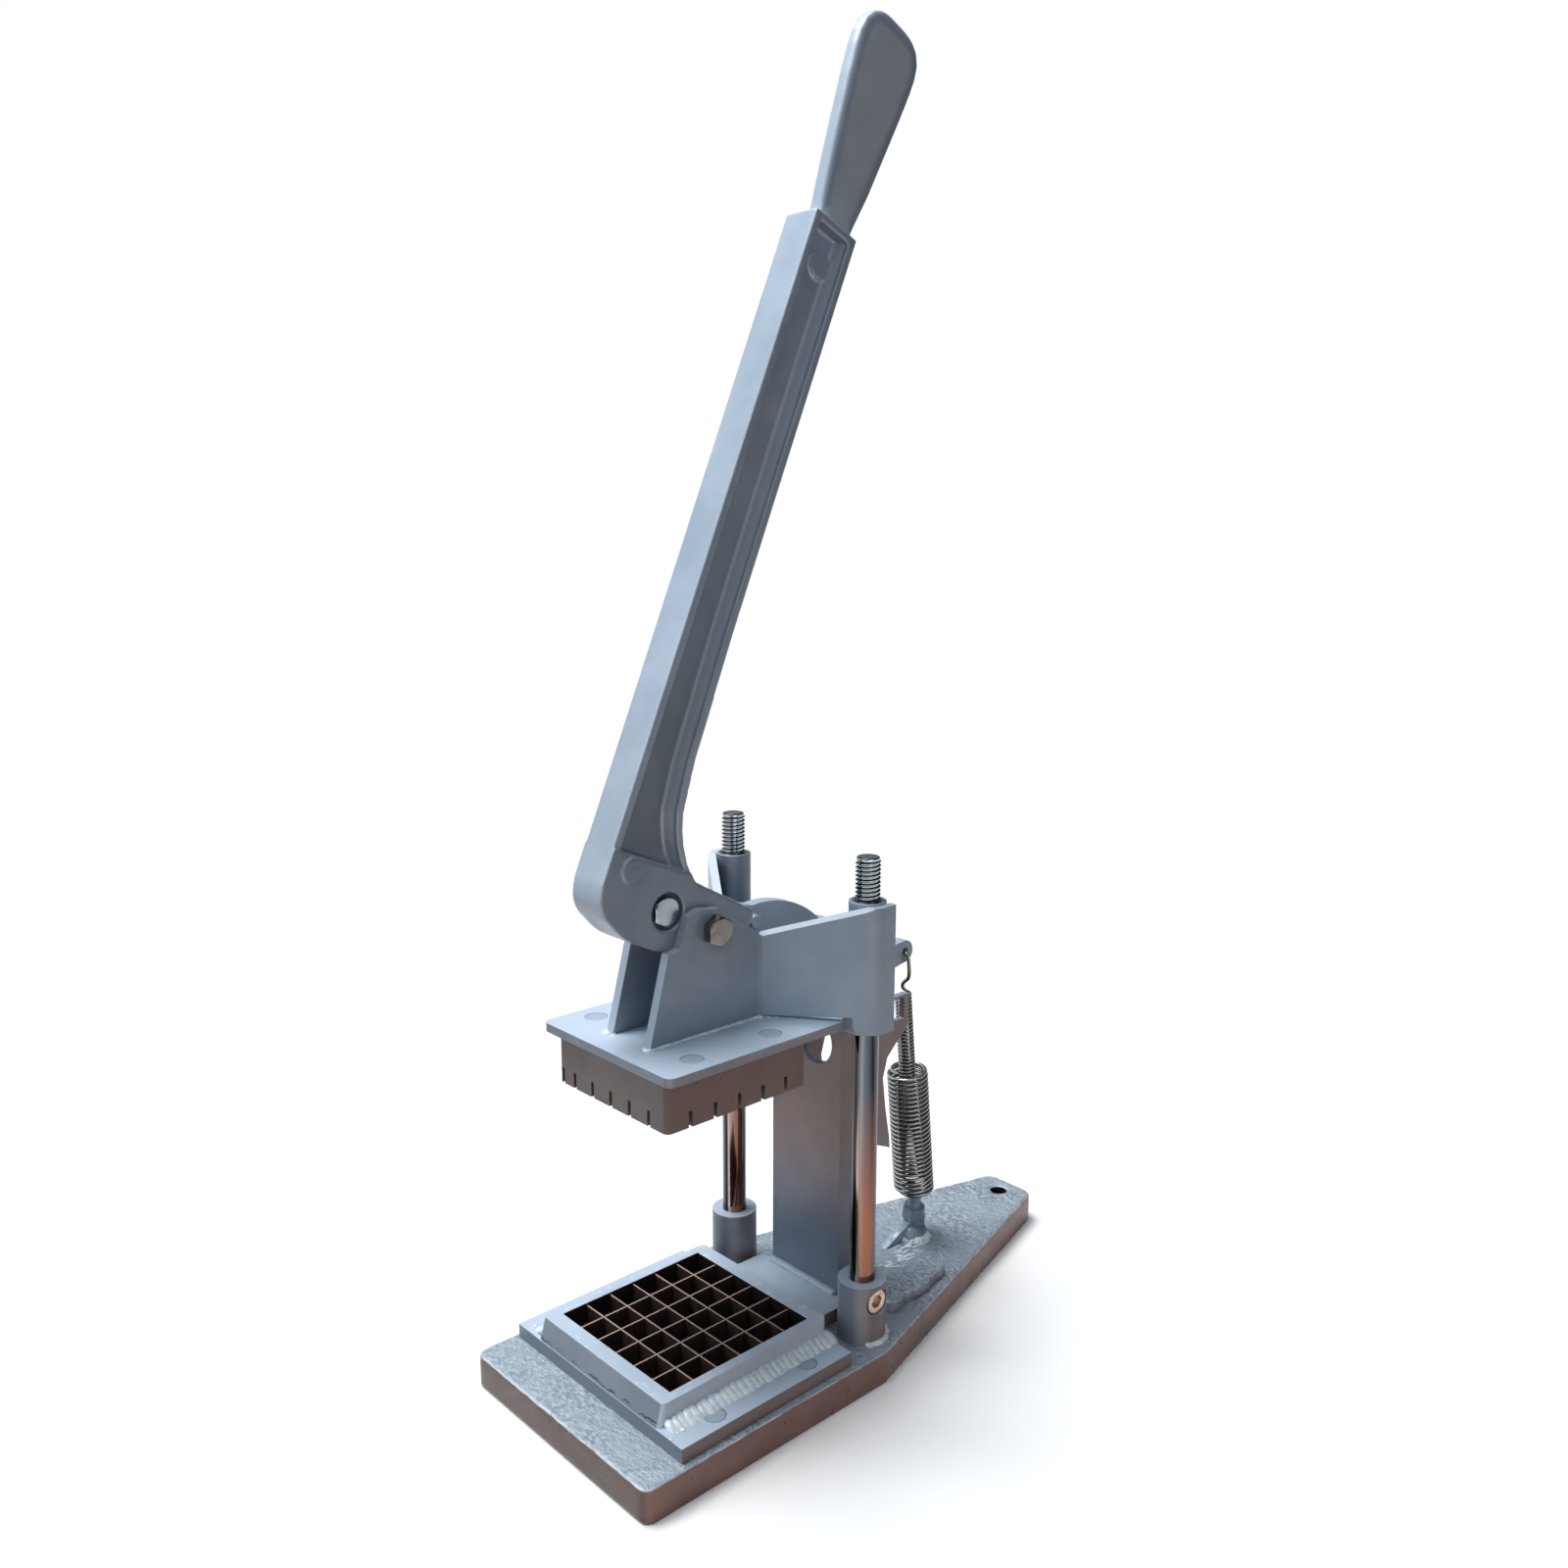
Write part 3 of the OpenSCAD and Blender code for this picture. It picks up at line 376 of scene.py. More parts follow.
PAINT = (0.34, 0.425, 0.53)
PAINT_LIGHT = (0.41, 0.50, 0.61)
PAINT_DARK = (0.25, 0.315, 0.395)
# painted highlight for eased edges and rims
EDGE_HIGHLIGHT = (0.68, 0.75, 0.82)
# painted reflection of the warm brown bench on low faces across X
WARM_BENCH_REFLECTION = (0.24, 0.15, 0.12)
# painted reflection of the brown bench on the base's low sides
BENCH_REFLECTION_FRONT = ((0.095, 0.06, 0.05), (0.128, 0.08, 0.067))  # on faces across the front
BENCH_REFLECTION_ACROSS_X = ((0.25, 0.135, 0.115), (0.33, 0.18, 0.15))  # on faces across X
# painted shade in the shaft under the blades and in the bench screw's hole
DEEP_SHADE = (0.02, 0.012, 0.01)
GRID_BACK = 89.75 * MM  # from the middle of the part forward to the middle of the blade grid
SHAFT_HALF = 42.4 * MM
TAIL_HOLE_Y = 153.25 * MM
BORE_REACH = 6 * MM, math.sqrt(40) * MM  # from the bench screw hole's axis to its wall, and just past it
CLEVIS_BEND = 62 * MM  # from the side plates' low Y end to where they turn outwards
CLEVIS_WELD = 66 * MM  # and to the end of their welds
CLEVIS_FACE = 16.4 * MM  # from the middle to the welds


def upright(recipe):
    """One on upright faces, none on level ones."""
    return recipe.span(recipe.facing_either("Z"), 0.3, 0.75, 1.0, 0.0)


def across_x(recipe):
    """One on faces that point along X."""
    return recipe.span(recipe.facing_either("X"), 0.35, 0.85)


def edge_highlight(recipe, tone, most=0.6):
    """Paints a highlight on the eased edges between level and upright faces."""
    steepest = recipe.facing_either("X")
    for axis in "YZ":
        steepest = recipe.larger(steepest, recipe.facing_either(axis))
    return recipe.mix(recipe.span(steepest, 0.8, 0.93, most, 0.0), tone, EDGE_HIGHLIGHT)


def lit_and_dim(recipe, tone):
    """Painted light on level tops and painted shade on front walls."""
    tone = recipe.mix(recipe.span(recipe.facing("Z"), 0.7, 0.95, 0.0, 0.55), tone, (0.6, 0.71, 0.84))
    front = recipe.span(recipe.facing("Y"), -0.95, -0.6, 1.0, 0.0)
    return recipe.mix(front, tone, (0.54, 0.52, 0.52), "MULTIPLY")


def in_shaft(recipe):
    """One on the walls of the shaft under the blades, where painted shade goes."""
    along = recipe.unsigned(recipe.plus(recipe.at("Y"), GRID_BACK))
    reach = recipe.larger(recipe.unsigned(recipe.at("X")), along)
    return recipe.times(recipe.span(reach, SHAFT_HALF, SHAFT_HALF + 0.3 * MM, 1.0, 0.0), upright(recipe))


def in_bore(recipe):
    """One on the wall of the bench screw's hole, where painted shade goes."""
    x = recipe.at("X")
    y = recipe.sums("SUBTRACT", recipe.at("Y"), TAIL_HOLE_Y)
    away = recipe.plus(recipe.times(x, x), recipe.times(y, y))
    near, far = (reach * reach for reach in BORE_REACH)
    return recipe.times(recipe.span(away, near, far, 1.0, 0.0), upright(recipe))


def painted(recipe, light, dark):
    """Soft silver-grey clouds with a few dark specks."""
    tone = recipe.ramp(recipe.noise(30), (0.34, dark), (0.66, light))
    specks = recipe.span(recipe.noise(1.6, 2), 0.66, 0.76, 0.0, 0.35)
    return recipe.mix(specks, tone, PAINT_DARK)


def satin(recipe, tone, grain, roughness=0.38):
    """Ends a paint: its colour, an even satin sheen and a fine grain."""
    recipe.colour(tone)
    recipe.rough(recipe.span(recipe.noise(9), 0.3, 0.7, roughness - 0.06, roughness + 0.08))
    recipe.bump((recipe.noise(16, 2), 0.2, 0.2), (recipe.noise(0.8, 2), grain, 0.05))
    return recipe.material


def silver_paint(name, light, dark, metallic=0.12, roughness=0.4, grain=0.2, painted_light=0.0):
    recipe = Recipe(name, metallic, roughness)
    tone = painted(recipe, light, dark)
    # painted light: the bench's warm reflection on low faces across X, lit tops, shaded front walls, edge
    # highlights and painted shade in the shaft
    if painted_light:
        low = recipe.span(recipe.at("Z"), 170 * MM, 200 * MM, painted_light, 0.0)
        tone = recipe.mix(recipe.times(low, across_x(recipe)), tone, WARM_BENCH_REFLECTION)
        tone = recipe.mix(in_shaft(recipe), edge_highlight(recipe, lit_and_dim(recipe, tone), 0.2), DEEP_SHADE)
    return satin(recipe, tone, grain, roughness)


def clevis_paint():
    """The side plates: painted shade where they are flat against the lever, paler along the arms, and painted
    highlights along their edges.
    """
    recipe = Recipe("clevis_paint", 0.12, 0.38)
    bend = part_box("side_plate_right")[0].y + CLEVIS_BEND
    # painted shade on the flat part against the lever
    shade = recipe.span(recipe.at("Y"), bend, bend + 8 * MM, 0.7, 1.0)
    tone = recipe.mix(across_x(recipe), painted(recipe, PAINT_LIGHT, PAINT), shade, "MULTIPLY")
    # painted highlight along the edges
    edge = recipe.times(recipe.span(recipe.facing("Z"), 0.3, 0.6), 0.5)
    return satin(recipe, recipe.mix(edge, tone, EDGE_HIGHLIGHT), 0.3)


def column_paint():
    """The channel: a painted reflection of the brown bench from low up to half way, dark blue-grey at its
    foot, and painted highlights on its edges.
    """
    recipe = Recipe("column_paint", 0.12, 0.38)
    z = recipe.at("Z")
    tone = painted(recipe, PAINT, PAINT_DARK)
    tone = recipe.mix(recipe.span(z, 60 * MM, 130 * MM, 0.75, 0.0), tone, (0.1, 0.13, 0.19))
    # painted reflection of the brown bench on upright faces
    brown = recipe.times(recipe.band(z, 50 * MM, 110 * MM, 160 * MM, 190 * MM, 0.8), upright(recipe))
    tone = recipe.mix(brown, tone, (0.3, 0.18, 0.145))
    return satin(recipe, edge_highlight(recipe, tone, 0.3), 0.2)


def frame_paint():
    """The blade frame: painted shade on the shaft walls and front walls, painted light on its tops and faces
    across X, painted highlights on its eased edges, worn patches with painted highlight on the rim, and a
    broken dark seam along the front wall's foot.
    """
    recipe = Recipe("frame_paint", 0.12, 0.38)
    tone = painted(recipe, PAINT_LIGHT, PAINT)
    seam_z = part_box("blade_frame")[0].z + 1.3 * MM
    wander = recipe.span(recipe.noise(6), 0.3, 0.7, seam_z - MM, seam_z + MM)
    off = recipe.unsigned(recipe.sums("SUBTRACT", recipe.at("Z"), wander))
    front = recipe.span(recipe.facing("Y"), -0.9, -0.6, 1.0, 0.0)
    seam = recipe.times(recipe.span(off, 0.1 * MM, 0.5 * MM, 1.0, 0.0), front)
    seam = recipe.times(seam, recipe.span(recipe.noise(12, 2), 0.42, 0.52))
    tone = recipe.mix(seam, tone, (0.03, 0.035, 0.045))
    # painted light on faces across X, painted light on tops and painted shade on front walls
    tone = recipe.mix(across_x(recipe), lit_and_dim(recipe, tone), (0.62, 0.68, 0.76))
    tone = edge_highlight(recipe, tone)
    # worn patches and a painted highlight on the rim's slopes
    patches = recipe.span(recipe.noise(5), 0.56, 0.66, 0.0, 0.8)
    wear_and_highlight = recipe.times(recipe.span(recipe.facing("Z"), 0.3, 0.6), patches)
    tone = recipe.mix(wear_and_highlight, tone, EDGE_HIGHLIGHT)
    return satin(recipe, recipe.mix(in_shaft(recipe), tone, DEEP_SHADE), 0.3)


def lever_paint():
    """The lever, with painted shade: its web lies dark between the flanges, it darkens towards its foot, and
    the flat of its foot is darker than the rest; painted highlights run along the web's edge and the rounded
    edges.
    """
    recipe = Recipe("lever_paint", 0.12, 0.38)
    # painted shade: dark on the web, darker towards the foot and on the foot's flat
    deep = recipe.unsigned(recipe.at("X"))
    web = recipe.span(deep, 3.2 * MM, 8.5 * MM)
    floor = recipe.span(recipe.at("Z"), 260 * MM, 470 * MM, 0.4, 1.05)
    handle = recipe.span(recipe.at("Z"), 545 * MM, 560 * MM)
    shade = recipe.larger(recipe.larger(web, floor), handle)
    shade = recipe.times(shade, recipe.span(deep, 10.5 * MM, 10.9 * MM, 1.0, 0.68))
    tone = recipe.mix(across_x(recipe), painted(recipe, PAINT_LIGHT, PAINT), shade, "MULTIPLY")
    # painted highlight along the crease between web and flange
    turned = recipe.facing_either("X")
    crease = recipe.times(recipe.band(deep, 3.15 * MM, 3.4 * MM, 3.9 * MM, 4.5 * MM, 0.75),
                          recipe.span(turned, 0.1, 0.35))
    tone = recipe.mix(crease, tone, EDGE_HIGHLIGHT)
    # painted highlight on the rounded edges
    return satin(recipe, recipe.mix(recipe.band(turned, 0.35, 0.5, 0.75, 0.9, 0.4), tone, EDGE_HIGHLIGHT), 0.25)


def cast_paint():
    """Stippled casting: painted highlights on the stipple's crests and painted shade in its pits, a painted
    reflection of the brown bench on the sides, painted shade in the shaft and the hole, and a painted
    highlight along the rim.
    """
    recipe = Recipe("cast_paint", 0.15, 0.34)
    stipple = recipe.noise(2.6, 3, 0.6, (1, 1.5, 1))
    # painted shade in the stipple's pits and painted highlight on its crests
    skin = recipe.ramp(stipple, (0.36, (0.19, 0.235, 0.29)), (0.47, PAINT_DARK), (0.62, (0.53, 0.6, 0.65)))
    patches = recipe.span(recipe.noise(26), 0.4, 0.62, 0.1, 0.8)
    tone = recipe.mix(patches, skin, (0.36, 0.43, 0.5))
    # painted reflection of the brown bench on the base's sides
    side = recipe.times(upright(recipe), recipe.span(recipe.at("Z"), 16 * MM, 19 * MM, 1.0, 0.0))
    clouds = recipe.noise(30)
    brown = [recipe.ramp(clouds, (0.35, low), (0.65, high)) for low, high in (BENCH_REFLECTION_FRONT, BENCH_REFLECTION_ACROSS_X)]
    tone = recipe.mix(side, tone, recipe.mix(across_x(recipe), *brown))
    # painted shade in the shaft and the bench screw's hole
    tone = recipe.mix(in_shaft(recipe), tone, DEEP_SHADE)
    tone = recipe.mix(in_bore(recipe), tone, DEEP_SHADE)
    # painted highlight along the rim, in patches
    rim = recipe.times(recipe.band(recipe.facing("Z"), 0.25, 0.5, 0.72, 0.9),
                       recipe.span(recipe.noise(7), 0.35, 0.6, 0.25, 1.0))
    recipe.colour(recipe.mix(rim, tone, EDGE_HIGHLIGHT))
    recipe.rough(recipe.span(recipe.noise(6), 0.3, 0.7, 0.26, 0.42))
    relief = recipe.times(stipple, recipe.span(recipe.facing("Z"), 0.6, 0.9))
    recipe.bump((recipe.noise(12, 2), 0.4, 0.6), (relief, 1.0, 1.5), (recipe.noise(0.7, 2), 0.3, 0.05))
    return recipe.material


def weld_paint():
    # painted highlight: the beads are coloured much paler than the paint, as they face the light
    recipe = Recipe("weld_bead", 0.05, 0.3)
    recipe.colour(recipe.ramp(recipe.noise(3), (0.35, (0.68, 0.79, 0.88)), (0.6, (0.88, 0.95, 1.0))))
    recipe.bump((recipe.noise(1.2), 0.12, 0.1))
    return recipe.material


def bare_steel(name, tone, dark, roughness):
    recipe = Recipe(name, 1.0, roughness)
    clouds = recipe.noise(6)
    recipe.colour(recipe.ramp(clouds, (0.35, dark), (0.65, tone)))
    recipe.rough(recipe.span(clouds, 0.3, 0.7, roughness - 0.04, roughness + 0.06))
    recipe.bump((recipe.noise(0.6, 2), 0.03, 0.02))
    return recipe.material


def spring_wire():
    """Painted highlight on top of each turn, painted shade underneath where the next turn shades it."""
    recipe = Recipe("spring_steel", 0.85, 0.24)
    up = recipe.span(recipe.facing("Z"), -1, 1)
    recipe.colour(recipe.ramp(
        up, (0.2, (0.012, 0.012, 0.012)), (0.42, (0.07, 0.068, 0.066)), (0.6, (0.42, 0.41, 0.4)),
        (0.78, (0.78, 0.77, 0.76)), (0.95, (0.3, 0.29, 0.28))))
    return recipe.material


def rod_chrome():
    """Plating with painted reflections: dark and pale strips along the rod, warm reflections of the bench low
    down, and painted shade in the thread grooves.
    """
    recipe = Recipe("rod_chrome", 1.0, 0.12)
    around = recipe.plus(recipe.times(recipe.facing("X"), 0.69), recipe.times(recipe.facing("Y"), 0.72))
    wander = recipe.span(recipe.noise(9, 3, 0.55, (1, 1, 0.06)), 0.3, 0.7, -0.14, 0.14)
    around = recipe.span(recipe.plus(around, wander), -1, 1)
    # painted reflections: dark and pale strips, warm with the bench's reflection in the lower ramp
    upper = recipe.ramp(
        around, (0.05, (0.06, 0.042, 0.038)), (0.2, (0.025, 0.028, 0.035)), (0.3, (0.13, 0.11, 0.1)),
        (0.4, (0.22, 0.25, 0.28)), (0.52, (0.11, 0.135, 0.16)), (0.68, (0.07, 0.08, 0.1)),
        (0.78, (0.014, 0.015, 0.018)), (0.87, (0.1, 0.1, 0.105)), (0.96, (0.045, 0.05, 0.056)))
    lower = recipe.ramp(
        around, (0.04, (0.17, 0.19, 0.22)), (0.12, (0.018, 0.02, 0.028)), (0.2, (0.02, 0.022, 0.03)),
        (0.27, (0.7, 0.52, 0.44)), (0.36, (0.36, 0.19, 0.13)), (0.55, (0.3, 0.13, 0.08)),
        (0.8, (0.28, 0.115, 0.072)), (0.88, (0.13, 0.075, 0.062)), (0.95, (0.08, 0.1, 0.13)))
    tone = recipe.mix(recipe.span(recipe.at("Z"), 75 * MM, 150 * MM), lower, upper)
    # painted shade in the thread grooves
    groove = recipe.times(recipe.span(recipe.facing_either("Z"), 0.15, 0.5),
                          recipe.span(recipe.facing("Z"), 0.93, 0.97, 1.0, 0.0))
    tone = recipe.mix(recipe.span(recipe.at("Z"), 225 * MM, 235 * MM), tone, (0.42, 0.48, 0.52))
    recipe.colour(recipe.mix(groove, tone, (0.045, 0.055, 0.065)))
    recipe.bump((recipe.noise(0.5, 2, 0.5, (1, 1, 0.05)), 0.08, 0.02))
    return recipe.material


def block_alloy():
    recipe = Recipe("block_aluminium", 0.1, 0.5)
    tone = recipe.ramp(recipe.noise(24), (0.35, (0.13, 0.105, 0.105)), (0.65, (0.17, 0.14, 0.138)))
    # painted reflection of the brown bench on faces across X; the stains are real
    tone = recipe.mix(recipe.times(across_x(recipe), 0.6), tone, (0.26, 0.15, 0.115))
    stains = recipe.span(recipe.noise(2, 2), 0.62, 0.75, 0.0, 0.3)
    recipe.colour(recipe.mix(stains, tone, (0.08, 0.06, 0.055)))
    recipe.bump((recipe.noise(1.0), 0.25, 0.08))
    return recipe.material


def blade_steel():
    recipe = Recipe("blade_steel", 0.1, 0.5)
    lines = recipe.noise(1.6, 3, 0.6, (1, 1, 0.08))
    # painted shade: the walls are near black, as the cells lie in shade, and painted light makes the level
    # tops pale
    steel = recipe.ramp(lines, (0.3, (0.022, 0.013, 0.011)), (0.7, (0.065, 0.036, 0.028)))
    recipe.colour(recipe.mix(recipe.span(recipe.facing("Z"), 0.5, 0.9), steel, (0.42, 0.33, 0.29)))
    recipe.bump((lines, 0.15, 0.04))
    return recipe.material


look = {
    "cast_paint": cast_paint(),
    "satin_paint": silver_paint("satin_paint", PAINT_LIGHT, PAINT),
    "side_painted_light": silver_paint("side_painted_light_paint", PAINT_LIGHT, PAINT, painted_light=0.85),
    "column_painted_light": column_paint(),
    "frame_painted_light": frame_paint(),
    "clevis_painted_light": clevis_paint(),
    "lever_paint": lever_paint(),
    "post_paint": silver_paint("post_paint", PAINT, PAINT_DARK, 0.15, 0.36, 0.5),
    # painted shade: a darker copy of the paint for the left socket and sleeve, with a weaker painted bench
    # reflection
    "shaded_left_tube": silver_paint("shaded_left_tube_paint", (0.24, 0.29, 0.36), (0.19, 0.235, 0.3), painted_light=0.5),
    "painted_screw": silver_paint("painted_screw", PAINT_LIGHT, PAINT, 0.15, 0.36, 0.5),
    "weld_bead": weld_paint(),
    "blade_steel": blade_steel(),
    "rod_chrome": rod_chrome(),
    "screw_steel": bare_steel("screw_steel", (0.72, 0.56, 0.45), (0.5, 0.36, 0.27), 0.32),
    "spring_steel": spring_wire(),
    "block_aluminium": block_alloy(),
    "bush_steel": bare_steel("bush_steel", (0.4, 0.43, 0.46), (0.26, 0.28, 0.3), 0.35),
    "bolt_steel": bare_steel("bolt_steel", (0.24, 0.22, 0.2), (0.16, 0.145, 0.135), 0.3),
    "zinc_steel": bare_steel("zinc_steel", (0.33, 0.37, 0.4), (0.25, 0.285, 0.315), 0.22),
}


# Flat pieces of the base and carriage

SPLIT = 0.02 * MM  # overlap of the pad and the plate on either side of the base's top
PAD_ROOT = 1.2 * MM  # how far the pad reaches down into the casting
FRAME_DRAFT = 3.1 * MM


def slab_above(level):
    """A large block whose underside is at this height."""
    bpy.ops.mesh.primitive_cube_add(size=1, location=(0, 0, level + 0.05), scale=(0.5, 0.5, 0.1))
    return settle(bpy.context.object)


def make_base():
    """The casting: a plate with a soft stippled skin, and the raised pad with its sharper steps."""
    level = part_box("holder_plate")[0].z
    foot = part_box("base_plate")[0].z
    pad = cut(node_copy("pad", "base_plate"), slab_above(level + SPLIT), "INTERSECT")
    for corner in pad.data.vertices:
        if corner.co.z < level + 0.5 * MM:
            corner.co.z -= PAD_ROOT
    eased(pad, 1.0, 3)
    base = as_casting(cut(node_copy("base_casting", "base_plate"), slab_above(level - SPLIT)), 1.15, 3)
    skin = base.vertex_groups.new(name="skin")
    skin_z = foot + (level - foot) * 0.8
    skin.add([v.index for v in base.data.vertices if v.co.z > skin_z], 1.0, "REPLACE")
    roughened(base, 4.5, 0.7, "casting_skin", detail=2, middle=0.6, vertex_group="skin")
    dress(joined("base_casting", [pad, base]), "base", "cast_paint", "base_plate")


def draw_foot_forward(piece):
    """Slopes the frame's front wall: its foot comes forward, flush with the holder plate's front."""
    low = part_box("blade_frame")[0]
    for corner in piece.data.vertices:
        if corner.co.z < low.z + MM and corner.co.y < low.y + 3 * MM:
            corner.co.y -= FRAME_DRAFT


def make_plates():
    """Flat and bent steel pieces: the CAD shapes with eased edges."""
    rows = [
        ("holder_plate_body", "base", "side_painted_light", 0.6, "holder_plate"),
        ("blade_frame_body", "base", "frame_painted_light", 0.7, "blade_frame"),
        ("column_channel", "base", "column_painted_light", 0.9, "column"),
        ("fork_left_plate", "base", "column_painted_light", 0.5, "fork_plate_left"),
        ("fork_right_plate", "base", "column_painted_light", 0.5, "fork_plate_right"),
        ("pusher_plate_body", "carriage", "side_painted_light", 0.6, "pusher_plate"),
        ("pusher_block_body", "carriage", "block_aluminium", 0.5, "pusher_block"),
        ("clevis_left_plate", "carriage", "clevis_painted_light", 0.6, "side_plate_left"),
        ("clevis_right_plate", "carriage", "clevis_painted_light", 0.6, "side_plate_right"),
        ("tail_plate_body", "lever", "satin_paint", 0.7, "tail_plate"),
        ("nose_pin_body", "lever", "satin_paint", 0.9, "nose_pin"),
        ("fulcrum_pin_body", "lever", "screw_steel", 0.6, "fulcrum_pin"),
        ("fulcrum_collar_pair", "lever", "zinc_steel", 0.3, "fulcrum_collars"),
        ("pivot_washer_ring", "carriage", "zinc_steel", 0.3, "pivot_washer"),
    ]
    for name, body, finish, edge, node in rows:
        piece = node_copy(name, node)
        if node == "blade_frame":
            draw_foot_forward(piece)
        dress(eased(piece, edge, 3), body, finish, node)


def make_blades():
    for node in ("blades_across", "blades_along"):
        blades = frame["nodes"][node]
        blades.data.materials.clear()
        blades.data.materials.append(look["blade_steel"])


# Round pieces

ROD_CLEARANCE = 0.08 * MM
SCREW_SEAT_GAP = 0.7 * MM
SCREW_TIP = 6.6 * MM  # from the rod's axis to the set screw's inner end
SCREW_DRIVE = 6 * MM  # across the flats of its socket
THREAD_LENGTH = 21 * MM
THREAD_PITCH = 2 * MM


def make_sockets():
    screw_low, screw_high, screw = body_box("set_screws")
    for side, out in SIDES:
        low, high, middle = body_box("socket_" + side)
        rod_low, rod_high, rod = body_box("guide_rod_" + side)
        radius = (high.y - low.y) / 2
        bore = (rod_high.x - rod_low.x) / 2 + ROD_CLEARANCE
        spot = Vector((rod.x, middle.y, 0))
        foot, top = at_height(spot, low.z), at_height(spot, high.z)
        tube = turned_tube(f"socket_{side}_tube", foot, top, radius, bore)
        at = at_height(rod, screw.z)
        seat = turned_rod("seat", at, at + Vector((out * 2 * radius, 0, 0)),
                          (screw_high.z - screw_low.z) / 2 + SCREW_SEAT_GAP)
        eased(cut(tube, seat), 0.5, 2)
        dress(tube, "base", "shaded_left_tube" if side == "left" else "side_painted_light", "socket_" + side)


def make_set_screws():
    low, high, middle = body_box("set_screws")
    screws = []
    for side, out in SIDES:
        rod = body_box("guide_rod_" + side)[2]
        tip = Vector((rod.x + out * SCREW_TIP, middle.y, middle.z))
        end = Vector((low.x if out < 0 else high.x, middle.y, middle.z))
        screw = turned_rod("screw", tip, end, (high.z - low.z) / 2, SMALL_ROUND)
        bpy.ops.mesh.primitive_cylinder_add(vertices=6, radius=SCREW_DRIVE / math.sqrt(3), depth=5 * MM,
                                            location=end, rotation=(0, math.pi / 2, 0))
        cut(screw, settle(bpy.context.object))
        screws.append(eased(screw, 0.5, 2))
    dress(joined("set_screw_pair", screws), "base", "screw_steel", "set_screws")


def thread(name, at, length, crest, root, pitch):
    """A V thread: one tooth's outline, wound round the axis and cut off square at both ends."""
    outline = [(root, 0), (root, 0.12), (crest, 0.42), (crest, 0.58), (root, 0.88), (root, 1)]
    bpy.ops.mesh.primitive_plane_add(size=MM, location=(0, 0, 0))
    piece = bpy.context.object
    piece.name = name
    start_edit(piece)
    bpy.ops.mesh.merge(type="CENTER")
    bpy.ops.transform.translate(value=(outline[0][0], 0, -pitch))
    for (r0, z0), (r1, z1) in zip(outline, outline[1:]):
        step = (r1 - r0, 0, (z1 - z0) * pitch)
        bpy.ops.mesh.extrude_region_move(TRANSFORM_OT_translate={"value": step})
    end_edit()
    finish_with(piece, "SCREW", angle=math.tau, screw_offset=pitch, iterations=math.ceil(length / pitch) + 1,
                steps=SMALL_ROUND, render_steps=SMALL_ROUND, use_merge_vertices=True,
                merge_threshold=0.001 * MM, use_normal_calculate=True)
    start_edit(piece)
    for height, lower in ((0, True), (length, False)):
        bpy.ops.mesh.select_all(action="SELECT")
        bpy.ops.mesh.bisect(plane_co=(0, 0, height), plane_no=(0, 0, 1), use_fill=True, clear_inner=lower,
                            clear_outer=not lower)
    bpy.ops.mesh.select_all(action="SELECT")
    bpy.ops.transform.translate(value=at)
    bpy.ops.mesh.normals_make_consistent(inside=False)
    end_edit()
    return smooth(piece, 30)


def make_rods():
    for side, _ in SIDES:
        low, high, middle = body_box("guide_rod_" + side)
        radius = (high.x - low.x) / 2
        shoulder = high.z - THREAD_LENGTH
        rod = turned_rod(f"rod_{side}_shank", at_height(middle, low.z), at_height(middle, shoulder), radius)
        eased(rod, 0.6, 3)
        crest, root = radius - 0.35 * MM, radius - 1.35 * MM
        worm = thread("thread", at_height(middle, shoulder - 0.5 * MM), THREAD_LENGTH - 1.2 * MM, crest, root,
                      THREAD_PITCH)
        cap = turned_rod("cap", at_height(middle, high.z - 2.2 * MM), at_height(middle, high.z),
                         root + 0.5 * MM, SMALL_ROUND)
        eased(cap, 0.7, 3)
        whole = joined(f"guide_rod_{side}_turned", [worm, cap, rod])
        dress(whole, "base", "rod_chrome", "guide_rod_" + side)


def make_sleeves():
    for side, _ in SIDES:
        low, high, middle = body_box("sleeve_" + side)
        bush_low, bush_high, _ = body_box("bush_" + side)
        tube = turned_tube(f"sleeve_{side}_tube", at_height(middle, low.z), at_height(middle, high.z),
                           (high.x - low.x) / 2, (bush_high.x - bush_low.x) / 2)
        finish = "shaded_left_tube" if side == "left" else "satin_paint"
        dress(eased(tube, 0.5, 3), "carriage", finish, "sleeve_" + side)
        liner = eased(node_copy(f"bush_{side}_liner", "bush_" + side), 0.2, 2)
        dress(liner, "carriage", "bush_steel", "bush_" + side)


def flush_heads(name, node, body):
    """Screw heads that are ground flush and painted over, with a faint ring round each."""
    dress(eased(node_copy(name, node), 0.35, 2), body, "painted_screw", node)


# Hexagon heads

HEX_ACROSS = 13 * MM
PIVOT_HEAD = 5.3 * MM
BOLT_RADIUS = 4 * MM


def hex_head(name, seat, out, height, bore=0.0):
    """A hexagon across X with its outer corners turned off at 30 degrees."""
    along = Vector((out, 0, 0))
    end = seat + along * height
    head = turned_rod(name, seat, end, HEX_ACROSS / math.sqrt(3), 6)
    face = HEX_ACROSS * 0.475
    bpy.ops.mesh.primitive_cone_add(vertices=96, radius1=face + height * math.sqrt(3), radius2=face,
                                    depth=height, location=(seat + end) / 2,
                                    rotation=along.to_track_quat("Z", "Y").to_euler())
    cut(head, settle(bpy.context.object), "INTERSECT")
    if bore:
        cut(head, turned_rod("bore", seat - along * MM, end + along * MM, bore, SMALL_ROUND))
    return smooth(head, 25)


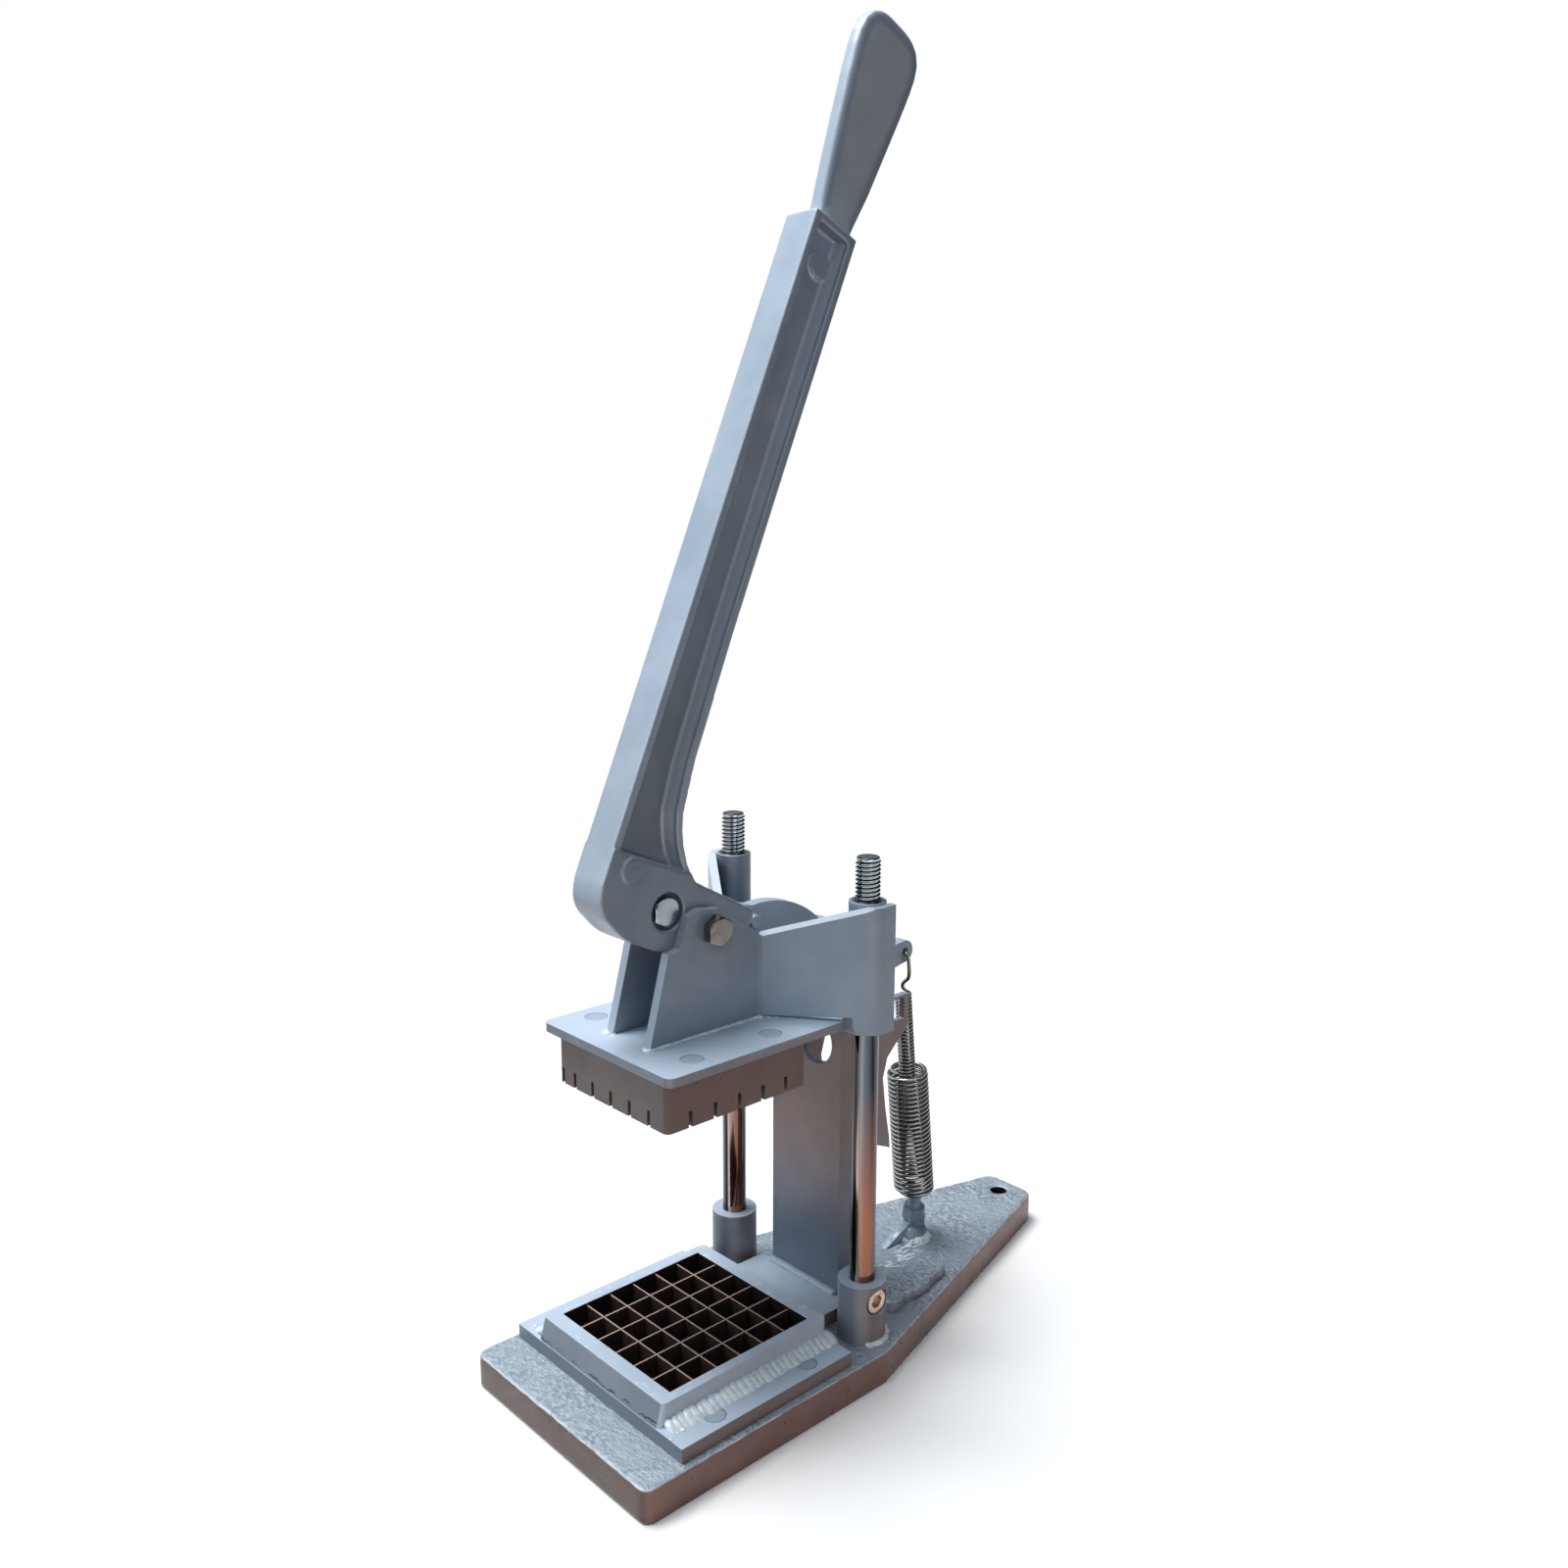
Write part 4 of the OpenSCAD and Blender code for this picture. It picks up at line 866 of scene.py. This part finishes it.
def make_bolts():
    for kind, body, finish in (("pivot", "carriage", "bolt_steel"), ("tail", "lever", "zinc_steel")):
        low, high, middle = body_box(kind + "_bolt")
        nut_low, nut_high, _ = body_box(kind + "_nut")
        nut_height = nut_high.x - nut_low.x
        height = PIVOT_HEAD if kind == "pivot" else nut_height
        seat = Vector((high.x - height, middle.y, middle.z))
        head = hex_head("head", seat, 1, height)
        end = Vector((low.x, middle.y, middle.z))
        bar = eased(turned_rod("bar", end, seat + Vector((MM, 0, 0)), BOLT_RADIUS, SMALL_ROUND), 0.5, 2)
        dress(joined(kind + "_bolt_hex", [bar, head]), body, finish, kind + "_bolt")
        nut_seat = Vector((nut_high.x, middle.y, middle.z))
        nut = hex_head(kind + "_nut_hex", nut_seat, -1, nut_height, BOLT_RADIUS)
        dress(nut, body, "zinc_steel", kind + "_nut")


# Lever

LEVER_LEAN = math.radians(23.1)
BEAM_LENGTH = 322 * MM
BEAM_OFFSET = 63.9 * MM
PADDLE_LENGTH = 108 * MM
# Paddle from its neck to its tip: a share of its length, then its front and rear half width and its
# half thickness in mm
PADDLE_ROWS = [(-0.015, 11.3, 11.9, 8.2), (0.0, 10.8, 11.6, 7.0), (0.03, 10.4, 11.2, 5.6),
               (0.08, 10.9, 12.2, 5.0), (0.25, 13.4, 15.3, 5.0), (0.45, 15.9, 17.6, 5.1),
               (0.65, 18.1, 19.9, 5.2), (0.78, 19.2, 21.1, 5.2), (0.85, 19.2, 21.3, 5.2),
               (0.91, 18.0, 20.4, 5.1), (0.955, 15.2, 17.8, 4.7), (0.982, 11.4, 14.2, 4.0),
               (1.0, 6.4, 9.0, 2.8)]
PADDLE_CORNERS = 40
PADDLE_POWER = 0.42  # how square its oval section is
# The rest are shares of the beam's offset from the pivot
PADDLE_MIDDLE_SHARE = -0.72
REAR_SHARES = [(-0.269, 0.322), (-0.341, 0.39), (-0.42, 0.5), (-0.47, 0.6), (-0.51, 0.71), (-0.548, 1.06),
               (-0.57, 2.0), (-0.57, 4.97)]
FOOT_CORNERS = [(-1, 0.02), (-0.93, -0.12), (-0.67, -0.24)]
BOSS_SHARE = (-0.8, 0.233)
FLANGE = 4 * MM
FLANGE_SLOPE = 5.2 * MM
WEB = 6 * MM
BEAM_WIDTH = 20.4 * MM
FOOT_WIDTH = 22 * MM
BOSS_RADIUS = 5.9 * MM
BOSS_HEIGHT = 3.4 * MM


def lofted(name, sections):
    """A closed skin through sections that have as many corners each, counted round from +X."""
    sides = len(sections[0])
    bpy.ops.mesh.primitive_circle_add(vertices=sides, radius=1, fill_type="NGON", location=(0, 0, 0))
    piece = bpy.context.object
    piece.name = name
    start_edit(piece, "FACE")
    for _ in sections[1:]:
        bpy.ops.mesh.extrude_region_move(TRANSFORM_OT_translate={"value": (0, 0, 1)})
    end_edit()
    for corner in piece.data.vertices:
        place = round(math.atan2(corner.co.y, corner.co.x) / math.tau * sides) % sides
        corner.co = sections[round(corner.co.z)][place]
    start_edit(piece)
    bpy.ops.mesh.normals_make_consistent(inside=False)
    end_edit()
    return piece


def paddle(pivot):
    """The handle: a flat oval section, drawn up row by row from the neck and closed in at the tip."""
    sections = []
    for share, front, back, thick in PADDLE_ROWS:
        ring = []
        for angle in [math.tau * i / PADDLE_CORNERS for i in range(PADDLE_CORNERS)]:
            c, s = math.cos(angle), math.sin(angle)
            half = (front if s < 0 else back) * MM
            x = math.copysign(abs(c) ** PADDLE_POWER, c) * thick * MM
            y = PADDLE_MIDDLE_SHARE * BEAM_OFFSET + math.copysign(abs(s) ** PADDLE_POWER, s) * half
            ring.append(pivot + Vector((x, y, BEAM_LENGTH + share * PADDLE_LENGTH)))
        sections.append(ring)
    return lofted("paddle", sections)


def flange_slope(pivot, side):
    """The drafted inner wall of the rear flange: it runs out onto the web."""
    floor = side * (WEB / 2 - MM)
    rim = side * (BEAM_WIDTH / 2 - 0.6 * MM)
    sections = []
    for along, up in REAR_SHARES:
        inner = along * BEAM_OFFSET - FLANGE
        outline = [(floor, inner - FLANGE_SLOPE), (rim, inner - 0.3 * MM), (rim, inner + MM),
                   (floor, inner + MM)]
        sections.append([pivot + Vector((x, y, up * BEAM_OFFSET)) for x, y in outline])
    return lofted("slope", sections)


def domed_boss(pivot, side):
    place = Vector((side * FOOT_WIDTH / 2, BOSS_SHARE[0] * BEAM_OFFSET, BOSS_SHARE[1] * BEAM_OFFSET))
    bpy.ops.mesh.primitive_uv_sphere_add(segments=32, ring_count=16, radius=1, location=pivot + place,
                                         scale=(BOSS_HEIGHT, BOSS_RADIUS, BOSS_RADIUS))
    return settle(bpy.context.object)


def lean_matrix(pivot, angle):
    return Matrix.Translation(pivot) @ Matrix.Rotation(angle, 4, "X") @ Matrix.Translation(-pivot)


def on_foot(pivot, middle):
    """Whether an edge's middle is on one of the corners of the lever's foot."""
    from_pivot = Vector((middle.y, middle.z)) - Vector((pivot.y, pivot.z))
    return any((from_pivot - Vector(share) * BEAM_OFFSET).length < MM for share in FOOT_CORNERS)


def make_lever():
    pivot = body_box("pivot_bolt")[2]
    lever = node_copy("lever_casting", "lever_arm")
    lever.data.transform(lean_matrix(pivot, LEVER_LEAN))
    start_edit(lever)
    bpy.ops.mesh.bisect(plane_co=pivot + Vector((0, 0, BEAM_LENGTH - 0.01 * MM)), plane_no=(0, 0, 1),
                        use_fill=True, clear_outer=True)
    end_edit()
    start_edit(lever)
    pick(lever, "EDGE", lambda middle, way: abs(way.x) > 0.99 and on_foot(pivot, middle))
    bpy.ops.mesh.bevel(offset=4.8 * MM, segments=5, affect="EDGES")
    end_edit()
    extras = [paddle(pivot)]
    for _, side in SIDES:
        extras += [flange_slope(pivot, side), domed_boss(pivot, side)]
    lever = as_casting(joined("lever_casting", [*extras, lever]), 0.7, 3)
    finish_with(lever, "DECIMATE", ratio=0.65)
    lever.data.transform(lean_matrix(pivot, -LEVER_LEAN))
    dress(lever, "lever", "lever_paint", "lever_arm")


# Springs

POST_RADIUS = 3.85 * MM
SPRING_LENGTH = 150.8 * MM  # from the post to the tail plate's eye
LARGE_WIRE = 2 * MM
LARGE_RADIUS = 10.5 * MM
LARGE_TURNS = 27
LARGE_PITCH = 2.65 * MM
LARGE_START = 7.5 * MM
LARGE_END_TURN = 0.75  # part of a turn that closes in at each end
SMALL_WIRE = 1.5 * MM
HOOK_WIRE = 2.1 * MM
SMALL_RADIUS = 4.05 * MM
SMALL_TURNS = 24
SMALL_PITCH = 2.1 * MM
EYE_RADIUS = 2 * MM
TAIL_PLATE_HALF = 3.5 * MM
STEPS = 26  # points on a turn


def tidied(piece):
    """Merges the skin's doubled corners and turns all of its faces outwards."""
    start_edit(piece)
    bpy.ops.mesh.remove_doubles(threshold=0.001 * MM)
    bpy.ops.mesh.normals_make_consistent(inside=False)
    end_edit()
    return piece


def spring_line():
    """Where the springs' axis starts on the post, and its direction."""
    joints = {joint["name"]: joint for joint in frame["joints"]}
    return Vector(joints["spring_swing"]["pos_m"]), Vector(joints["spring_stretch"]["axis"]).normalized()


def wire(name, points, radius):
    """A round wire along these points, with flat ends."""
    bpy.ops.curve.primitive_nurbs_path_add(location=(0, 0, 0))
    line = bpy.context.object
    line.data.splines.clear()
    run = line.data.splines.new("POLY")
    run.points.add(len(points) - 1)
    for knot, point in zip(run.points, points):
        knot.co = (*point, 1)
    line.data.bevel_depth = radius
    line.data.bevel_resolution = 4
    line.data.use_fill_caps = True
    select_only(line)
    bpy.ops.object.convert(target="MESH")
    piece = bpy.context.object
    piece.name = name
    return smooth(tidied(piece), 50)


def on_spring_line(points):
    foot, along = spring_line()
    turn = Matrix.Translation(foot) @ Matrix.Rotation(math.atan2(-along.y, along.z), 4, "X")
    return [turn @ Vector(point) for point in points]


def coil(radius_from, radius_to, z0, pitch, turns, start):
    count = round(turns * STEPS)
    points = []
    for i in range(count + 1):
        angle = start + math.tau * i / STEPS
        radius = radius_from + (radius_to - radius_from) * i / count
        points.append((radius * math.cos(angle), radius * math.sin(angle), z0 + pitch * i / STEPS))
    return points


def softened(points, rounds=3):
    """Cuts the corners of a line off, again and again, until it bends like wire."""
    points = [Vector(p) for p in points]
    for _ in range(rounds):
        inner = []
        for a, b in zip(points, points[1:]):
            inner += [a.lerp(b, 0.25), a.lerp(b, 0.75)]
        points = [points[0], *inner[1:-1], points[-1]]
    return points


def hook_points(start):
    """The wire's way from the last turn up the middle, past the tail plate's face and through its eye."""
    w = SMALL_WIRE
    side = TAIL_PLATE_HALF + 1.4 * w
    bend = 1.5 * w
    z = SPRING_LENGTH - EYE_RADIUS + HOOK_WIRE / 2 + 0.15 * MM
    corners = [(0, SMALL_RADIUS * 0.5, start + w), (0, 0, start + 2.5 * w), (0, 0, start + 4 * w),
               (side * 0.4, 0, z - 16.5 * MM), (side, 0, z - 13.8 * MM), (side, 0, z - bend),
               (side - bend * 0.3, 0, z - bend * 0.3), (side - bend, 0, z), (bend - side, 0, z),
               (bend * 0.3 - side, 0, z - bend * 0.3), (-side, 0, z - bend), (-side, 0, z - 2.5 * bend)]
    return softened([(0, SMALL_RADIUS, start), *corners])[1:]


def make_large_spring(top):
    quarter = math.pi / 2
    end = LARGE_END_TURN
    seat = POST_RADIUS + LARGE_WIRE / 2
    neck = SMALL_RADIUS + 2 * LARGE_WIRE
    first = coil(seat, LARGE_RADIUS, LARGE_START - end * LARGE_PITCH, LARGE_PITCH, end, quarter)
    body = coil(LARGE_RADIUS, LARGE_RADIUS, LARGE_START, LARGE_PITCH, LARGE_TURNS, quarter + math.tau * end)
    last = coil(LARGE_RADIUS, neck, top, LARGE_PITCH, end, quarter + math.tau * (end + LARGE_TURNS % 1))
    tail = [(-LARGE_WIRE, seat, first[0][2])]
    large = wire("large_spring_wire", on_spring_line(tail + first + body[1:] + last[1:]), LARGE_WIRE / 2)
    large.data.materials.append(look["spring_steel"])
    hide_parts("large_spring")
    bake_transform(large)


def make_small_spring(bottom):
    top = bottom + SMALL_TURNS * SMALL_PITCH
    turns = coil(SMALL_RADIUS, SMALL_RADIUS, bottom, SMALL_PITCH, SMALL_TURNS, math.pi / 2)
    small = wire("small_spring_wire", on_spring_line(turns + hook_points(top)), SMALL_WIRE / 2)
    hook = wire("hook", on_spring_line(hook_points(top)[8:]), HOOK_WIRE / 2)
    dress(joined("small_spring_wire", [hook, small]), "spring_upper", "spring_steel", "small_spring")


def make_springs():
    top = LARGE_START + LARGE_TURNS * LARGE_PITCH
    make_large_spring(top)
    make_small_spring(top - 2 * SMALL_PITCH)


# Welds

WELD_SEED = 11


def drop(place, size, turn):
    """One drop of weld metal: a flattened ball of this half length, half width and half height."""
    bpy.ops.mesh.primitive_uv_sphere_add(segments=16, ring_count=8, radius=1, location=place, rotation=turn,
                                         scale=size)
    return settle(bpy.context.object)


def weld_run(chance, points, size, tilt=0.0, uneven=0.15):
    """Overlapping drops along a line like scales, each a little different, tilted about the line."""
    long, wide, high = millimetres(*size)
    drops = []
    for a, b in zip(points, points[1:]):
        along = (b - a).normalized()
        turn = along.to_track_quat("X", "Z").to_matrix() @ Matrix.Rotation(tilt, 3, "X")
        turn = turn @ Matrix.Rotation(chance.uniform(-1, 1) * uneven, 3, "Z") @ Matrix.Rotation(0.28, 3, "Y")
        grow = 1 + chance.uniform(-1, 1) * uneven
        place = a + along.cross(Vector((0, 0, 1))) * chance.uniform(-1, 1) * uneven * wide * 0.5
        drops.append(drop(place, (long * grow, wide * grow, high), turn.to_euler()))
    return drops


def spatter(chance, middle, spread, count, size):
    """Small beads thrown about a place, on the same level."""
    drops = []
    for _ in range(count):
        place = middle + Vector((chance.gauss(0, spread), chance.gauss(0, spread), 0)) * MM
        radius = size * chance.uniform(0.5, 1.2) * MM
        shape = (radius, radius * chance.uniform(0.7, 1.4), radius * 0.6)
        drops.append(drop(place, shape, (0, 0, chance.random() * 3)))
    return drops


def melted(name, drops, grain, rounds=1):
    return as_casting(joined(name, drops), grain, rounds)


def scaly(name, drops):
    """Drops that keep their own outlines, so that each one's edge shows as a crescent."""
    bead = joined(name, drops)
    bpy.ops.object.shade_smooth()
    return bead


def straight(a, b, step):
    """Points from a to b, about this many millimetres apart."""
    a, b = Vector(a), Vector(b)
    count = max(2, round((b - a).length / (step * MM)))
    return [a.lerp(b, i / count) for i in range(count + 1)]


def make_frame_welds(chance):
    """Rippled beads along both sides of the blade frame, spread out onto the holder plate."""
    low, high, _ = body_box("blade_frame")
    drops = []
    for _, out in SIDES:
        x = (high.x if out > 0 else low.x) + out * 3.4 * MM
        z = low.z + 0.6 * MM
        run = straight((x, low.y + 2 * MM, z), (x, high.y + 3 * MM, z), 3.5)
        drops += weld_run(chance, run, (3.3, 5.3, 1.9), tilt=out * 0.5, uneven=0.16)
        drops += spatter(chance, run[0] + millimetres(out * 2, 1, -0.4), 2.4, 10, 0.9)
    dress(scaly("frame_weld_beads", drops), "base", "weld_bead", "frame_weld")


def make_column_welds(chance):
    """A smooth fillet at the column's foot, and short beads where the fork plates meet its back edges."""
    low, high, _ = body_box("column")
    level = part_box("holder_plate")[1].z
    y = low.y - 0.4 * MM
    run = straight((low.x + 1.5 * MM, y, level), (high.x - 1.5 * MM, y, level), 1.1)
    fillet = melted("column_foot_fillet", weld_run(chance, run, (1.6, 3.0, 2.4), uneven=0.05), 0.5, 3)
    dress(fillet, "base", "satin_paint", "column_weld")
    drops = []
    for side, out in SIDES:
        low, high, middle = body_box("fork_plate_" + side)
        x, y = middle.x + out * 1.6 * MM, low.y + 0.4 * MM
        for bottom, top in ((0.06, 0.24), (0.62, 0.8)):
            z0, z1 = (low.z + (high.z - low.z) * share for share in (bottom, top))
            drops += weld_run(chance, straight((x, y, z0), (x, y, z1), 2.0), (1.7, 1.9, 1.6), uneven=0.3)
    dress(scaly("fork_weld_beads", drops), "base", "weld_bead")


def make_socket_welds(chance):
    """An uneven bead round the rear half of each socket's foot."""
    drops = []
    for side, first in (("left", 0.35), ("right", -0.15)):
        low, high, _ = body_box("socket_" + side)
        rod = body_box("guide_rod_" + side)[2]
        radius = (high.y - low.y) / 2 + 0.3 * MM
        angles = [math.pi * (first + 0.8 * i / 15) for i in range(16)]
        ring = [Vector((rod.x + radius * math.cos(a), rod.y + radius * math.sin(a), low.z + 0.3 * MM))
                for a in angles]
        drops += weld_run(chance, ring, (1.8, 1.8, 1.5), uneven=0.35)
    dress(scaly("socket_weld_beads", drops), "base", "weld_bead")


def make_clevis_welds(chance):
    """Thin beads along the side plates' feet, with blobs and spatter at their ends."""
    drops = []
    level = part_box("pusher_plate")[1].z
    for side, out in SIDES:
        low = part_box("side_plate_" + side)[0]
        face = out * CLEVIS_FACE
        bend = low.y + CLEVIS_WELD
        run = straight((face, low.y + 0.5 * MM, level), (face, bend, level), 1.9)
        drops += weld_run(chance, run, (1.4, 1.1, 1.0), uneven=0.4)
        front = Vector((face - out * 2.5 * MM, low.y - 0.2 * MM, level))
        drops += spatter(chance, front, 1.5, 9, 1.1)
        drops += spatter(chance, Vector((face + out * 1.5 * MM, bend, level)), 2.2, 9, 1.0)
    dress(melted("clevis_weld_beads", drops, 0.3), "carriage", "weld_bead", "side_plate_welds")


def make_welds():
    chance = random.Random(WELD_SEED)
    for make in (make_frame_welds, make_column_welds, make_socket_welds, make_clevis_welds):
        make(chance)


def make_post():
    """The spring's post: a rough collar on a welded foot, a fan of weld and streaks before it."""
    low, high, _ = body_box("spring_post")
    chance = random.Random(WELD_SEED + 1)
    axis = Vector((0, high.y - POST_RADIUS, low.z))
    bpy.ops.mesh.primitive_cylinder_add(vertices=6, radius=6.6 * MM, depth=7.5 * MM,
                                        location=axis + millimetres(0, -0.4, 13.5), rotation=(0.12, 0.1, 0.5))
    collar = settle(bpy.context.object)
    foot = drop(axis + millimetres(2.6, -2.2, 1), millimetres(7.5, 9, 6.5), (0, 0, 0.3))
    post = melted("spring_post_welded", [collar, foot, node_copy("post", "spring_post")], 0.45, 2)
    dress(roughened(post, 3.5, 0.8, "post_skin"), "base", "post_paint", "spring_post")
    fan = []
    for i in range(15):
        angle = -1.9 + 2.6 * i / 14
        out = Vector((math.cos(angle), math.sin(angle), 0))
        place = axis + millimetres(2.2, -2, 1.6) + out * chance.uniform(6.6, 8.4) * MM
        fan.append(drop(place, millimetres(3.6, 1.3, 1.5), (0, 0.5, angle)))
    for _ in range(46):
        s, t = chance.random(), chance.gauss(0, 1)
        place = axis + millimetres(8 + 9 * s + 3.2 * t, -8 - 30 * s + 2 * t, 0.1)
        size = millimetres(chance.uniform(1.2, 3.6), chance.uniform(0.4, 0.8), 0.5)
        fan.append(drop(place, size, (0, 0, 1.3 + chance.gauss(0, 0.35))))
    dress(scaly("post_weld_fan", fan), "base", "weld_bead")


# Floor, light and backdrop

FLOOR_NEAR = 0.34  # distance from the object, in metres, up to which the floor shows its shadow
FLOOR_FAR = 0.75  # and from which it is plain white
BENCH = (0.1, 0.068, 0.052)
FLOOR_LIFT = 0.08


def make_floor():
    """A white floor that keeps the shadow, and bounces a wooden bench's warm light onto the object."""
    bpy.ops.mesh.primitive_plane_add(size=12, location=(0, 0, 0))
    floor = bpy.context.object
    floor.name = "floor"
    recipe = Recipe("floor", 0.0, 0.9)
    recipe.colour((0.9, 0.9, 0.9))
    recipe.feed(recipe.shader, "Specular IOR Level", 0.0)
    bench = recipe.add("ShaderNodeBsdfDiffuse", {"Color": BENCH})
    lift = recipe.add("ShaderNodeEmission", {"Strength": FLOOR_LIFT})
    white = recipe.add("ShaderNodeEmission")
    near = recipe.add("ShaderNodeAddShader", {0: recipe.shader.outputs[0], 1: lift.outputs[0]})
    away = recipe.add("ShaderNodeVectorMath", {0: recipe.place}, operation="LENGTH").outputs["Value"]
    faded = recipe.blend(recipe.span(away, FLOOR_NEAR, FLOOR_FAR), near, white)
    rays = recipe.add("ShaderNodeLightPath").outputs
    seen = recipe.larger(rays["Is Camera Ray"], rays["Is Glossy Ray"])
    mixed = recipe.blend(seen, bench, faded)
    recipe.feed(recipe.tree.nodes["Material Output"], "Surface", mixed.outputs[0])
    floor.data.materials.append(recipe.material)


def make_world():
    """White where the camera looks; for the object, a room bright on one side and dim on the other."""
    world = bpy.data.worlds.new("studio")
    bpy.context.scene.world = world
    sky = Nodes(world)
    way = sky.add("ShaderNodeTexCoord").outputs["Generated"]
    bright = Vector((-0.62, -0.45, 0.64)).normalized()
    side = sky.add("ShaderNodeVectorMath", {0: way, 1: bright}, operation="DOT_PRODUCT").outputs["Value"]
    room = sky.tree.nodes["Background"]
    sky.feed(room, "Color", (0.84, 0.92, 1.0))
    sky.feed(room, "Strength", sky.span(side, -0.05, 0.8, 0.04, 0.6))
    white = sky.add("ShaderNodeBackground", {"Color": (1, 1, 1)})
    seen = sky.add("ShaderNodeLightPath").outputs["Is Camera Ray"]
    mixed = sky.blend(seen, room, white)
    sky.feed(sky.tree.nodes["World Output"], "Surface", mixed.outputs[0])


def make_lights():
    rows = [
        ("overhead", (-0.5, -0.3, 2.1), (0, 0, 0.1), (1.0, 1.0), 45, (1, 1, 1)),
        ("front_left", (-0.9, -1.7, 1.1), (0, 0, 0.25), (1.0, 1.0), 8, (1, 1, 1)),
        ("right_high", (1.2, -0.1, 0.95), (0, 0.02, 0.5), (0.6, 0.6), 1.5, (0.72, 0.87, 1)),
        ("bench_glow", (0.9, -0.35, 0.16), (0, -0.02, 0.06), (0.7, 0.25), 0.9, (1, 0.8, 0.7)),
    ]
    for name, place, target, size, power, colour in rows:
        data = bpy.data.lights.new(name, "AREA")
        data.shape = "RECTANGLE"
        data.size, data.size_y = size
        data.energy = power
        data.color = colour
        lamp = bpy.data.objects.new(name, data)
        bpy.context.scene.collection.objects.link(lamp)
        lamp.location = place
        lamp.rotation_euler = (Vector(target) - Vector(place)).to_track_quat("-Z", "Y").to_euler()


make_camera()
make_base()
make_plates()
make_blades()
make_sockets()
make_set_screws()
make_rods()
make_sleeves()
flush_heads("holder_screw_heads", "holder_screws", "base")
flush_heads("pusher_screw_heads", "pusher_screws", "carriage")
make_bolts()
make_lever()
make_springs()
make_welds()
make_post()
make_floor()
make_world()
make_lights()
